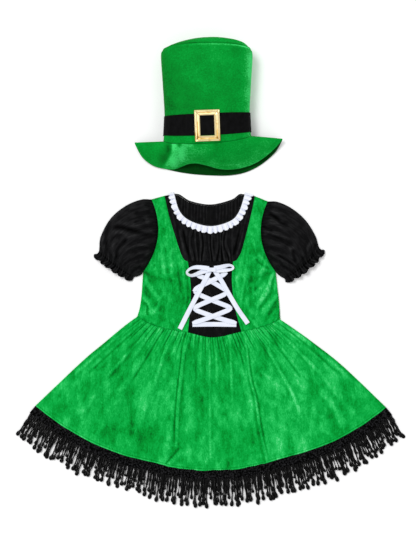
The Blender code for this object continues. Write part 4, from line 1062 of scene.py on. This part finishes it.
def sleeve_rows(side):
    hole = ARMHOLES[side]
    away = -0.2 if side == "left" else 0.2
    head_ends = [(x + away, y) for x, y in (hole.shoulder, hole.underarm)]
    lines = [Line(*head_ends, hole.bow, ARMHOLE_LOFT, 0.0), *SLEEVES[side]]
    table = np.array([[*line.outer, *line.inner, line.bow, line.loft, line.gathers] for line in lines])
    knots = np.linspace(0.0, 1.0, len(table))
    curve = smooth(np.column_stack([table, ALONG * knots]), shares(600))
    front, back = shares(RING_FRONT), shares(RING_BACK)[::-1]
    ahead = table[-1, :2] + table[-1, 2:4] - table[-2, :2] - table[-2, 2:4]
    ahead /= np.linalg.norm(ahead)
    rings = []
    for s in np.r_[np.linspace(0.0, 0.7, 62, endpoint=False), np.linspace(0.7, 1.0, SLEEVE_RINGS - 61)]:
        values = [np.interp(ALONG * s, curve[:, -1], curve[:, k]) for k in range(7)]
        outer, inner, (bow, loft, gathers) = values[:2], values[2:4], values[4:]
        over, under = curved_line(outer, inner, bow, front), curved_line(outer, inner, bow, back)
        # The frill past the elastic ends in round lobes of uneven width, with a notch between each two.
        for line, at in ((over, front), (under, back)):
            lobes = np.abs(np.sin(np.pi * 6 * at + 1.2 * arch(at) * soft_noise(at * 5, at, 84)))
            edge = 5.8 * (lobes**0.6 - 0.6) + 0.3 * np.cos(2 * np.pi * 21 * at)
            line += ease((s - 0.88) / 0.12) * edge[:, None] * ahead
        power = 0.8 - 0.18 * ease(s * 6)
        blend = ease((s - 0.55) / 0.2)
        wander = front + 0.012 * soft_noise(front * 9, np.full_like(front, s * 4), 81)
        head = np.cos(2 * np.pi * SLEEVE_GATHERS * wander)
        cuff = np.cos(2 * np.pi * CUFF_FLUTES * wander)
        waves = gathers * ((1 - blend) * head + blend * cuff) * arch(front, 0.5)
        frilled = 1.1 * np.cos(2 * np.pi * FRILL_WAVES * wander) * ease((s - 0.86) / 0.06) * arch(front, 0.5)
        small = 1.1 * np.cos(2 * np.pi * HEAD_TUCKS * wander) * (math.exp(-s / 0.04) * arch(front, 0.5))
        shirring = 1.2 * np.cos(2 * np.pi * SHIRRING * wander) * arch(front, 0.4) * bell(s - CUFF_AT, 0.05)
        elastic = -1.6 * bell(s - CUFF_AT, 0.018) * arch(front, 0.4)
        height = TOP + loft * arch(front, power) + waves + small + shirring + elastic + frilled
        top = np.column_stack([over, height])
        rings.append(np.vstack([top, np.column_stack([under, np.zeros(len(under))]), top[:1]]))
    return np.array(rings)


for side in ("left", "right"):
    rings = sleeve_rows(side)
    raised = creased(rings, SLEEVE_CREASES[side])
    raised[..., 2] += 0.5 * soft_noise(rings[..., 0] / 11, rings[..., 1] / 11, 82)
    share = np.clip((rings[..., 2] - TOP) / 10.0, 0.0, 1.0)
    rings[..., 2] += share * (raised[..., 2] - rings[..., 2])
    s, around = np.meshgrid(shares(len(rings) - 1), shares(rings.shape[1] - 1), indexing="ij")
    cut = np.dstack([around * 420, -s * 165])  # mm, all round and from the armhole to the frill's edge
    piece = lay(f"sleeve_{side}_cloth", rings, cut, SHOWN_WALL, jersey, closed=True, relief_shade=(6, 7, 2.2))
    declare(piece, f"sleeve_{side}")

# %% [markdown]
# The lacing is satin ribbon tacked to the insert. Each stretch is a flat strip with a slight crown. Where
# it turns back at a side its end is cut along the side, so that two stretches meet as one fold.

# %% Lacing
RIBBON = 10.2
LAYER = 1.1  # from one ribbon's underside to the next one's
RIBBON_RISE = 0.95  # from the cloth to the face of a ribbon that lies on it
Stretch = namedtuple("Stretch", "layer taper path")
STRETCHES = {
    "lace_bar": Stretch(0, 0, [(-38.5, -115.4), (10, -114.8), (58, -115.6)]),
    "lace_rising_left_1": Stretch(
        1, 0.45, [(58.5, -112), (40, -107.5), (5.7, -97), (-26, -85.5), (-36.5, -81)]
    ),
    "lace_rising_left_2": Stretch(
        1, 0.5, [(48.5, -79.3), (38, -75), (3, -61.3), (-24, -49.5), (-35.5, -43.5)]
    ),
    "lace_rising_left_3": Stretch(1, 0.4, [(38.5, -43), (28, -35.5), (1.7, -20), (-14, -12.5), (-30, -7)]),
    "lace_rising_right_1": Stretch(
        2, 0.45, [(-39, -112), (-26, -108.5), (5.7, -97.3), (38, -84.5), (48.5, -79.3)]
    ),
    "lace_rising_right_2": Stretch(2, 0.45, [(-36.5, -81), (-26, -74), (3, -61.3), (28, -51), (38.5, -44)]),
    "lace_rising_right_3": Stretch(2, 0.5, [(-37, -42.5), (-26, -34), (1.7, -20), (22, -10), (38, -1)]),
    "lace_tail_left": Stretch(3, 0, [(-1, 2), (-13, -21.5), (-24, -43), (-45, -83), (-66.2, -125.2)]),
    "lace_tail_right": Stretch(3, 0, [(11, 2), (24.5, -18.5), (38, -42.5), (60, -80), (83, -113.2)]),
}


def selvedges(share, height, reach):
    """The thin raised lines along both edges of a ribbon."""
    return height * (bell(share, reach) + bell(1 - share, reach))


def ribbon_rows(stretch, surface):
    """Rows along a ribbon, resting on a surface and on lower ribbons. A taper narrows its folded ends."""
    at = shares(64)
    line = smooth(stretch.path, at)
    length = np.linalg.norm(np.diff(line, axis=0), axis=1).sum()
    from_end = np.minimum(at, 1 - at) * length
    width = RIBBON * (1.0 - stretch.taper * bell(from_end, 5.0))
    rest = evened(surface.tops(line, 3.5), 5)
    rows = []
    for share in shares(12):
        side = beside(line, width * (share - 0.5))
        crown = 0.25 * arch(share, 0.6) + selvedges(share, 0.2, 0.07)
        ripple = 0.3 * soft_noise(side[:, 0] / 13, side[:, 1] / 13, 91)
        rows.append(np.column_stack([side, rest + RIBBON_RISE + stretch.layer * LAYER + crown + ripple]))
    return np.array(rows), length


for name, stretch in STRETCHES.items():
    rows, length = ribbon_rows(stretch, bodice)
    piece = lay(name + "_ribbon", rows, strip_cut(rows)[..., ::-1], 0.55, satin, relief_shade=(2, 3, 0.5))
    declare(piece, name)

# %% [markdown]
# The bow's loops are the same ribbon, set partly on edge. A loop is a closed path in plan, and the ribbon's
# width leans from upright at the far end to nearly flat by the knot.

# %% Bow
KNOT = (3.5, 5.0)
BOW_LOOPS = {
    "left": [
        (-2, 7.5), (-16, 9.5), (-31, 10.5), (-43, 7.5), (-50.3, 1), (-49, -5), (-41, -8), (-31, -5.5),
        (-19, -0.5), (-3, 4),
    ],
    "right": [
        (9, 8), (22, 10), (33, 13), (43, 14.6), (49.6, 11.8), (49.6, 7.5), (43, 5), (32, 4), (20, 3.5),
        (9, 4.5),
    ],
}
bow_floor = bodice.top(*KNOT) + SEAM_SPACE + 4 * LAYER
for side, points in BOW_LOOPS.items():
    at = shares(120)
    line = smooth(points, at)
    lean = np.radians(14 + 48 * arch(at, 3.0))
    normal = side_normals(line)
    rows = []
    for share in shares(10):
        aside = (share - 0.5) * RIBBON
        place = line + normal * (aside * np.cos(lean))[:, None]
        height = bow_floor + 2.2 + 0.8 * np.cos(np.pi * at) + 0.3 * np.sin(9 * at + share)
        rows.append(np.column_stack([place, height + 0.5 * aside * np.sin(lean)]))
    rows = np.array(rows)
    length = np.linalg.norm(np.diff(line, axis=0), axis=1).sum() * MM
    piece = lay(f"bow_loop_{side}_ribbon", rows, strip_cut(rows)[..., ::-1], 0.5, satin, relief_shade=(2, 3, 0.5))
    declare(piece, f"bow_loop_{side}")

form = bmesh.new()
bmesh.ops.create_cube(form, size=1.0)
bmesh.ops.scale(form, vec=(19.0, 10.0, 4.4), verts=form.verts)
bmesh.ops.subdivide_edges(form, edges=form.edges[:], cuts=7, use_grid_fill=True)
bmesh.ops.smooth_vert(form, verts=form.verts, factor=0.5, use_axis_x=True, use_axis_y=True, use_axis_z=True)
for vert in form.verts:
    vert.co.y *= 1.0 - 0.16 * bell(vert.co.x, 2.5)  # it is pinched in the middle
    vert.co.z *= 1.0 - 0.12 * math.cos(vert.co.x * 2.2)
bmesh.ops.translate(form, vec=(*KNOT, bow_floor + 2.6), verts=form.verts)
bmesh.ops.scale(form, vec=(MM, MM, MM), verts=form.verts)
layer = form.loops.layers.uv.new("cut")
for face in form.faces:
    for loop in face.loops:
        loop[layer].uv = (loop.vert.co.x / MM, loop.vert.co.y / MM)
knot = finish_piece("bow_knot_ribbon", form, satin)
knot.modifiers.new("rounding", "SUBSURF").levels = 1
knot.modifiers["rounding"].render_levels = 1
declare(knot, "bow_knot")

# %% [markdown]
# The fringe is a woven braid under the hem. From its lower edge hang cords, thick at the root, each with a
# long bead halfway and a drop at its end. A cord is a small grid rolled into a tube, as wide in each row as
# its profile says, and a loop places one after another along the hem, each a little different.

# %% Fringe
STRAND_SHARE = 0.36
STRAND_LENGTH = 60.0
STRAND_LEAN = 0.72
PROFILE = [
    (0, 0), (0, 2.3), (0.08, 2.5), (0.16, 2.4), (0.23, 1.9), (0.29, 1.5), (0.35, 2.3), (0.42, 2.7),
    (0.49, 2.4), (0.55, 1.7), (0.60, 1.45), (0.70, 1.35), (0.77, 1.5), (0.82, 2.5), (0.88, 4.2), (0.94, 4.3),
    (0.98, 2.9), (1, 0),
]
FLATNESS = 0.52  # a bead's height as a share of its width, as the beads lie in a shallow heap
STRAND_SIDES = 8
BRAID_ROWS = 12
BRAID_CORDS = 190  # slanting cords along the whole braid
# The cords at each place: how far aside, the least and most that each is shorter by, and its drop's size
TWINS = [(0, -5, 3, 1), (-4.3, 7, 14, 0.82), (4.3, 15, 27, 0.7)]
HEM_LENGTH = 831.0
CORD_CLEAR = 0.004  # share of the hem at each end of the braid that no cord hangs from
# By how many mm the cords are longer or shorter at shares of the way along the hem
LENGTHS = [
    (0, 0), (0.06, 1), (0.11, -5), (0.16, -3), (0.21, -8), (0.26, -8), (0.31, -9), (0.36, -1), (0.41, 0.5),
    (0.6, 2.5), (0.65, 6), (0.7, 0), (0.75, -2), (0.8, 3), (0.85, 1), (0.9, -3.5), (0.95, -6), (1, -1),
]


def add_strand(form, root, ahead, length, stout, drop, sway):
    """Adds one beaded cord to a bmesh, from its root to a height of drop at its end."""
    first = len(form.verts)
    bmesh.ops.create_grid(form, x_segments=STRAND_SIDES, y_segments=len(PROFILE) - 1, size=1.0)
    form.verts.ensure_lookup_table()
    side = Vector((-ahead.y, ahead.x, 0.0))
    for row, (share, radius) in enumerate(PROFILE):
        fall = float(ease(share * 2.0))
        middle = root + ahead * (length * share) + side * (sway * math.sin(math.pi * share * 1.3))
        middle.z = root.z * (1 - fall) + drop * fall
        for k in range(STRAND_SIDES + 1):
            angle = 2 * math.pi * (k % STRAND_SIDES) / STRAND_SIDES
            wide = radius * (stout if share > 0.5 else 1.0)
            across, up = wide * math.cos(angle), wide * FLATNESS * math.sin(angle)
            vert = form.verts[first + row * (STRAND_SIDES + 1) + k]
            vert.co = (middle + side * across + Vector((0.0, 0.0, up))) * MM


def fringe(node, strands, braid_height, drop, turn, seed):
    """One hem's braid and its cords, whose ends lie at a height of drop."""
    braid_at = shares(600)
    rows = []
    for share in shares(BRAID_ROWS):
        line = hem_line(braid_at, HEM_RADIUS - 1.0 + share * (BRAID + 1.0))
        cords = 0.35 * np.cos(2 * np.pi * (share * 6 + braid_at * BRAID_CORDS))
        loops = 0.4 * share**6 * np.cos(2 * np.pi * braid_at * BRAID_CORDS)
        under = -1.2 * ease(1 - share * 14)
        rows.append(np.column_stack([line, braid_height(braid_at) + 1.2 + cords + loops + under]))
    cut = np.dstack(np.meshgrid(braid_at * 850.0, shares(BRAID_ROWS) * 21.0))  # mm, as it was woven
    band = lay(node + "_braid", np.array(rows), cut, 1.2, braid)
    form = bmesh.new()
    rng = np.random.default_rng(seed)
    for number in range(strands):
        at = (number + STRAND_SHARE / 2) / (strands - 1 + STRAND_SHARE)
        for layer, (shift, least, most, stout) in enumerate(TWINS):
            shifted = np.clip(at + (shift + rng.uniform(-0.9, 0.9)) / HEM_LENGTH, CORD_CLEAR, 1 - CORD_CLEAR)
            x, y = hem_line(np.array([shifted]), HEM_RADIUS + BRAID - 4.0)[0]
            lean = STRAND_LEAN * math.atan2(x - HEM_CENTRE[0], HEM_CENTRE[1] - y) + rng.normal(0.0, 0.04)
            ahead = Vector((math.sin(lean), -math.cos(lean), 0.0))
            length = STRAND_LENGTH + 2.5 + 2.5 * math.sin(2.4 * number + turn) - rng.uniform(least, most)
            length += np.interp(at, *np.transpose(LENGTHS))
            root = Vector((x, y, braid_height(np.array([at]))[0] + 0.6))
            add_strand(form, root, ahead, length, stout, drop + 1.5 * layer, rng.uniform(-1.6, 1.6))
    bmesh.ops.remove_doubles(form, verts=form.verts, dist=MERGE)
    bmesh.ops.recalc_face_normals(form, faces=form.faces)
    strings = finish_piece(node + "_beads", form, beads)
    for piece in (band, strings):
        declare(piece, node)


def front_braid(at):
    at = np.asarray(at)
    return LOW + 0.5 + np.interp(at, shares(400), smooth_hem)


# The braid follows the hem's main rises and falls, without its small ripples.
hem_heights = skirt_loft(shares(400), np.ones(401))
smooth_hem = evened(hem_heights, 6)
fringe("fringe_front", 66, front_braid, 5.0, 0.0, 101)
fringe("fringe_back", 38, lambda at: np.full(len(at), 0.5), 1.9, 1.3, 102)

# %% [markdown]
# The hat lies on its back, so its round crown is pressed into an oval. Its rings are superellipses, fuller
# at the shoulders than an ellipse, which is how foam-backed cloth flattens. The crown's wall, its top and
# its brim are separate pieces that meet at sewn seams.

# %% Hat crown
HAT_AT = np.array([-6.0, 290.0, 0.0])
HAT_WALL = 3.0
HAT_SQUARENESS = 2.6
RING_STEPS = 240
Section = namedtuple("Section", "y half_width floor height dip tilt")
CROWN = [
    Section(0.8, 95.5, 2.2, 71, 11.8, 0.064),
    Section(10.5, 94.5, 2.2, 73, 6, 0.042),
    Section(51.5, 92.5, 2, 76.5, 0, 0.042),
    Section(118, 96, 1, 82, -1, 0.02),
    Section(176, 99.5, 0.3, 87, -3, 0.01),
    Section(193, 97.5, 0, 88, -10.3, 0.01),
]


def crown_ring(section, grow=0.0, steps=RING_STEPS):
    """A closed ring of the crown, grown outwards by that much, its last point the same as its first."""
    angle = np.linspace(0.0, 2 * np.pi, steps + 1)
    power = 2.0 / HAT_SQUARENESS
    across = np.sign(np.cos(angle)) * np.abs(np.cos(angle)) ** power
    up = np.sign(np.sin(angle)) * np.abs(np.sin(angle)) ** power
    x = (section.half_width + grow) * across
    z = section.floor + section.height / 2 + (section.height / 2 + grow) * up
    y = section.y + section.tilt * x - section.dip * up**2
    ring = np.column_stack([x, y, z])
    ring[-1] = ring[0]
    return ring + HAT_AT


def crown_section(share):
    """The section at a share of the way from the crown's mouth to its top."""
    return Section(*smooth(CROWN, np.array([share]))[0])


def ring_cut(rings):
    """The flat cut of a tube: the length round each ring, and the distance from the first ring."""
    around = np.r_[0.0, np.cumsum(np.linalg.norm(np.diff(rings[len(rings) // 2], axis=0), axis=1))]
    along = np.r_[0.0, np.cumsum(np.linalg.norm(np.diff(rings[:, 0], axis=0), axis=1))]
    return np.dstack(np.broadcast_arrays(around[None], along[:, None]))


# Painted shade darkens the crown down its left, a painted sheen pales it round its right edge, and a few
# smaller spots add painted highlight and shade
CROWN_SHADE_AND_SHEEN = [Spot(*spot) for spot in [
    (-98, 395, 42, 85, -0.57), (92, 400, 17, 120, 1.15), (72, 500, 16, 15, 0.6), (-40, 358, 60, 28, -0.22),
    (0, 480, 50, 22, 0.15), (-88, 306, 14, 7, 0.45),
]]
# How strong the seam's painted highlight and painted shade lines are at places across the hat, in mm
SEAM_HIGHLIGHT = ([-80, -40, 40, 75], [0.1, 0.45, 0.5, 1.1])
SEAM_SHADE = ([-80, -40, 40, 75], [0.3, 0.6, 0.6, 0.3])
rings = [crown_ring(CROWN[0], -1.2) - (0.0, 1.8, 0.0)]
for share in np.r_[np.linspace(0.0, 0.9, 58, endpoint=False), np.linspace(0.9, 1.0, 18)]:
    ring = crown_ring(crown_section(share))
    middle = ring.mean(axis=0)
    # The wall rounds over to the seam with the top.
    drawn = 1.0 - 0.024 * ease((share - 0.94) / 0.06) ** 2
    ring = middle + (ring - middle) * (drawn, 1.0, drawn) - (1.2 * share, 0.0, 0.0)
    ring[:, 2] += 0.5 * soft_noise(ring[:, 0] / 30, ring[:, 1] / 26, 111) * (ring[:, 2] > 40)
    rings.append(ring)
rings = np.array(rings)
# Painted shade draws the seam with the top as a dark line, and a painted highlight pales the fold before it.
from_top = np.arange(len(rings))[::-1, None]
seam_highlight = bell(from_top - 2.4, 1.2) * np.interp(rings[..., 0], *SEAM_HIGHLIGHT)
seam_shade = bell(from_top, 0.9) * np.interp(rings[..., 0], *SEAM_SHADE)
painted_shading = pile_and_shade(rings, CROWN_SHADE_AND_SHEEN) + seam_highlight - seam_shade
crown = lay("hat_crown_cloth", rings, ring_cut(rings), HAT_WALL, hat_velour, True, None, painted_shading)
declare(crown, "hat_crown")

# %% [markdown]
# The top is a round of foam-backed velour, domed by the stuffing that keeps the hat up. It starts at the
# seam, where both cloths are drawn in, so a soft line shows along the front.

# %% Hat top
# How much of the seam's size each ring has, and how far in mm it rises past the seam
DOME = [
    (0.974, -0.4), (0.968, 0.6), (0.955, 1.4), (0.92, 3.6), (0.85, 8.6), (0.70, 14), (0.4, 20.8),
    (0.2, 21.9), (0, 22.1),
]
DOME_TILT = 0.036  # the dome leans a little, so its right side is the higher
seam = CROWN[-1]
middle = np.array([0.0, seam.y, seam.floor + seam.height / 2]) + HAT_AT
ring = crown_ring(seam)
rings = []
for share, rise in smooth(DOME, shares(34)):
    leaning = DOME_TILT * share * float(ease(rise / 12.0))
    raised = rise + leaning * (ring[:, :1] - middle[0])
    rings.append(middle + (ring - middle) * share + raised * (0.0, 1.0, 0.0) - (0.6, 0.0, 0.0))
rings = np.array(rings)
# The top is in shadow where it comes out of the seam.
upmost = rings[:, RING_STEPS // 4, 1]
rise = (upmost - upmost[0])[:, None]
painted_shading = pile_and_shade(rings, CROWN_SHADE_AND_SHEEN) - bell(rise, 1.6) * np.interp(rings[..., 0], *SEAM_SHADE)
top = lay("hat_tip_cloth", rings, ring_cut(rings), HAT_WALL - 0.5, hat_velour, True, None, painted_shading)
declare(top, "hat_tip")

# %% [markdown]
# The brim is a ring of the same cloth, bent over at the front. Its front half lies top side up and waves:
# one stretch is lifted off the surface, so the dark underside of the back half shows below it.

# %% Hat brim
# The brim's edge: an angle round the crown in degrees, and a place in mm
BRIM_EDGE = [
    (0, 164, -0.6, 19), (12, 158.3, -7.3, 18), (26, 138.5, -27.5, 15), (40, 108.7, -48.8, 13),
    (53, 79.3, -60.4, 14), (65, 52, -65, 16), (76, 26.5, -64, 21), (86, 1.5, -57.5, 28),
    (95, -21.5, -52.5, 31), (103, -40, -53, 26), (111, -54, -57.5, 15), (122, -73, -63.5, 5.2),
    (135, -93.5, -62.5, 5.2), (150, -119, -55.5, 7), (165, -142.5, -37.5, 12), (180, -158.5, -8, 18),
    (196, -141, -38.5, 5), (214, -112, -56.5, 1.5), (234, -78, -67, 1.5), (254, -38, -74, 1.5),
    (272, 7, -77.5, 1.5), (290, 50, -77.5, 1.5), (308, 85, -70.5, 1.5), (328, 117.5, -54.5, 1.5),
    (346, 149, -27.5, 6),
]
BRIM_STEPS = 300
STITCHING = (6.0, 11.0)  # mm from the brim's edge
BRIM_CREASES = [
    Crease([(-76, 292), (-86, 262), (-100, 226)], 7, -3),
    Crease([(-54, 290), (-70, 256), (-90, 216)], 9, 3.8),
    Crease([(12, 288), (16, 270), (22, 250)], 4.5, -1.3),
    Crease([(96, 292), (108, 268), (122, 244)], 15, 1),
]
# Painted highlight on the bend's ridge and painted shade in its valley, with a few milder spots of each
# across the brim
BRIM_HIGHLIGHT_AND_SHADE = [Spot(*spot) for spot in [
    (-79, 274, 5, 16, 0.75), (-66, 279, 4, 10, -1), (-46, 277, 14, 9, 0.6), (-62, 256, 10, 14, 1),
    (-78, 238, 10, 12, 0.85), (-40, 256, 26, 26, 0.35), (-92, 270, 5, 9, -0.4), (-104, 254, 8, 11, -0.3),
    (-88, 283, 7, 4, 0.3), (13, 280, 3, 12, -0.45), (60, 232, 70, 10, 0.5), (120, 268, 40, 26, 0.25),
    (100, 250, 30, 14, 0.1), (-130, 262, 16, 8, -0.1), (-4, 284, 5, 4, 0.6),
]]
# The fold's edge, where painted shade changes to painted highlight at one line
BRIM_FOLD_SHADE = [Crease([(-84, 286), (-85, 262), (-92, 247), (-108, 226)], 6, 0, 0.45)]


def brim_edge(angles):
    table = np.array(BRIM_EDGE, float)
    wrapped = np.vstack([table[-2:] - (360, 0, 0, 0), table, table[:3] + (360, 0, 0, 0)])
    fine = smooth(wrapped, shares(720))
    return np.column_stack([np.interp(angles, fine[:, 0], fine[:, k]) for k in (1, 2, 3)])


def brim_rings(steps, count):
    """Rings of the brim's middle surface, from its seam on the crown to its edge."""
    angles = np.linspace(0.0, 360.0, steps + 1)
    seam = crown_ring(CROWN[0], -HAT_WALL / 2, steps) - HAT_AT - (0.0, 2.2, 0.0)
    seam[:, 2] = np.maximum(seam[:, 2], HAT_WALL / 2 + 2.0)
    edge = brim_edge(angles)
    front = np.clip(np.sin(np.radians(angles)), 0.0, 1.0)
    back = np.clip(-np.sin(np.radians(angles)) * 2.5, 0.0, 1.0)
    rings = []
    for share in shares(count):
        ring = seam + share * (edge - seam)
        inside = np.interp(share, [0.0, 0.35, 1.0], [0.0, 1.0, 1.0])
        ring[:, 2] += 7.0 * arch(share, 1.0) * front
        ring[:, 2] += inside * back * (HAT_WALL / 2 - ring[:, 2])
        ring[-1] = ring[0]
        rings.append(ring + HAT_AT)
    return np.array(rings)


rings = brim_rings(BRIM_STEPS, 34)
half = BRIM_STEPS // 2
front_half = slice(8, half - 8)  # the creases keep clear of the back half
rings[:, front_half] = creased(rings, BRIM_CREASES)[:, front_half]
around = np.roll(rings, -1, axis=1) - np.roll(rings, 1, axis=1)
around[:, 0] = around[:, -1] = rings[:, 1] - rings[:, -2]
outwards = np.gradient(rings, axis=0)
normal = np.cross(around, outwards)
normal /= np.linalg.norm(normal, axis=2)[..., None]
over = rings + normal * HAT_WALL / 2
# Two rows of stitching press grooves into the brim.
from_edge = np.linalg.norm(rings - rings[-1:], axis=2)
stitched = sum(bell(from_edge - row, 0.9) for row in STITCHING)
over -= normal * 0.5 * stitched[..., None]
over[..., 2] = np.maximum(over[..., 2], 0.0)
fold_shade = creased(over * (1.0, 1.0, 0.0), BRIM_FOLD_SHADE)[..., 2]
# The whole brim is painted a little paler, and painted shade darkens the stitching's grooves.
brim_shading = 0.08 + pile_and_shade(over, BRIM_HIGHLIGHT_AND_SHADE) + fold_shade - 0.2 * stitched
brim = lay("hat_brim_cloth", over, ring_cut(over), HAT_WALL, hat_velour, True, None, brim_shading)
# The back half is seen from below and lies in shade, so it gets the darker copy of the velour as painted
# shade.
brim.data.materials.append(shaded_velour)
cut = brim.data.uv_layers["cut"].uv
turned = ring_cut(over)[0, half, 0]
for face in brim.data.polygons:
    if all(cut[k].vector.x > turned for k in face.loop_indices):
        face.material_index = 1
declare(brim, "hat_brim")

# %% [markdown]
# A grosgrain ribbon goes round the crown. It is a strip that sits just clear of the velour, with a thin
# selvedge along each edge.

# %% Hat band
BAND_RISE = 1.5  # from the crown's face to the band's
rings = []
for share in shares(22):
    low, high = CROWN[1], CROWN[2]
    section = Section(*[a + share * (b - a) for a, b in zip(low, high)])
    rings.append(crown_ring(section, BAND_RISE + selvedges(share, 0.25, 0.03)))
rings = np.array(rings)
band = lay("hat_band_ribbon", rings, ring_cut(rings), 0.9, grosgrain, True, None)
declare(band, "hat_band")

# %% [markdown]
# The buckle is a moulded frame with mitred corners and stepped edges. Its section is drawn once, as pairs of
# a distance in from the outside and a height, and carried round the four corners.

# %% Buckle
BUCKLE = (54.0, 67.0)
BUCKLE_AT = (0.0, 25.0)
BUCKLE_TURN = math.radians(2.0)
BUCKLE_RISE = 0.7  # from the band's face to the underside of the frame
BUCKLE_LOOPS = [
    (0, 0), (0, 1.9), (0.5, 2.4), (1.3, 2.4), (1.7, 3), (2.6, 3.9), (3.4, 4), (4.2, 3.3), (6, 3), (7.6, 3.2),
    (8.3, 3.9), (9.4, 4), (10.2, 3.2), (10.9, 2.5), (11.5, 2.3), (11.5, 0),
]
CORNERS = [(1, 1), (-1, 1), (-1, -1), (1, -1)]
low, high = CROWN[1], CROWN[2]
slope = (high.floor + high.height - low.floor - low.height) / (high.y + low.dip - low.y)
cosine, sine = math.cos(BUCKLE_TURN), math.sin(BUCKLE_TURN)
turn = np.array([[cosine, -sine], [sine, cosine]])
loops = []
for inset, up in BUCKLE_LOOPS + BUCKLE_LOOPS[:1]:
    corners = np.array([(r * (BUCKLE[0] / 2 - inset), a * (BUCKLE[1] / 2 - inset)) for r, a in CORNERS])
    stops = np.r_[0.0, 0.025, 0.08, np.linspace(0.15, 0.85, 8), 0.92, 0.975][:, None]
    sides = [corners[k] + stops * (corners[(k + 1) % 4] - corners[k]) for k in range(4)]
    side = np.vstack([*sides, corners[:1]])
    mitre = 0.55 * (np.arange(len(side)) % len(stops) == 0) * min(1.0, up)
    flat_loop = side @ turn.T + BUCKLE_AT
    seat = low.floor + low.height + slope * (flat_loop[:, 1] - low.y + low.dip) + BAND_RISE
    loops.append(np.column_stack([flat_loop, seat + BUCKLE_RISE + up - mitre]) + HAT_AT)
loops = np.array(loops)
buckle = lay("hat_buckle_frame", loops, loops[..., :2], 0.0, gold, closed=True)
buckle.data.set_sharp_from_angle(angle=math.radians(35))
declare(buckle, "hat_buckle")

# %% [markdown]
# The set is photographed from straight above on a white sweep. The floor is one large pale plane.

# %% Floor
# The sweep glows a little, painted light in place of a lamp below it, so shadows on it stay pale.
floor_finish, tree, shader = new_finish(
    "lit_sweep", Roughness=0.9, Specular_IOR_Level=0.1, Emission_Strength=0.1
)
shader.inputs["Emission Color"].default_value = (1.0, 1.0, 1.0, 1.0)
place = add(tree, "ShaderNodeTexCoord").outputs["Object"]
mottle = add(tree, "ShaderNodeTexNoise", {"Vector": place, "Scale": 6.0, "Detail": 2.0}).outputs[0]
links = {FACTOR: mottle, COLOUR_A: linear("#FBFBFC"), COLOUR_B: linear("#FEFEFE")}
colour = add(tree, "ShaderNodeMix", links, data_type="RGBA").outputs[MIXED]
tree.links.new(colour, shader.inputs["Base Color"])
form = bmesh.new()
bmesh.ops.create_grid(form, x_segments=4, y_segments=4, size=6.0)
bmesh.ops.translate(form, vec=(0.0, 0.0, -0.0005), verts=form.verts)
floor = finish_piece("floor", form, floor_finish)

# %% [markdown]
# A large soft light hangs nearly overhead, a little to the upper left, as the short shadows fall to the
# lower right. A weak light and a pale world fill the rest. The camera looks straight down, with the
# photograph's framing.

# %% Light
def area_light(name, place, aim, size, power):
    data = bpy.data.lights.new(name, "AREA")
    data.shape = "RECTANGLE"
    data.size, data.size_y = size
    data.energy = power
    light = bpy.data.objects.new(name, data)
    light.location = place
    light.rotation_euler = (Vector(aim) - Vector(place)).to_track_quat("-Z", "Y").to_euler()
    bpy.context.scene.collection.objects.link(light)


area_light("key", (-2.3, 2.0, 7.0), (0.0, 0.0, 0.0), (2.6, 2.6), 300.0)
area_light("fill", (2.2, -1.6, 5.0), (0.0, 0.0, 0.0), (2.4, 2.4), 16.0)
world = bpy.data.worlds.new("studio")
world.use_nodes = True
world.node_tree.nodes["Background"].inputs["Color"].default_value = (1.0, 1.0, 1.0, 1.0)
world.node_tree.nodes["Background"].inputs["Strength"].default_value = 0.54
bpy.context.scene.world = world
bpy.context.scene.view_settings.view_transform = "Standard"

# %% Camera
PIXEL = 2.2 * MM  # how much of the floor one pixel of the 416 by 555 frame covers
PHOTO_HIGH = 555
CAMERA_HEIGHT = 3.6
SENSOR = 36.0
camera_data = bpy.data.cameras.new("camera")
camera_data.sensor_width = SENSOR
camera_data.lens = SENSOR * CAMERA_HEIGHT / (PHOTO_HIGH * PIXEL)
camera = bpy.data.objects.new("camera", camera_data)
camera.location = (-4.4 * MM, -12.1 * MM, CAMERA_HEIGHT)  # over the middle of the photograph
bpy.context.scene.collection.objects.link(camera)
bpy.context.scene.camera = camera
print("lens:", round(camera_data.lens, 1), "mm at", CAMERA_HEIGHT, "m")
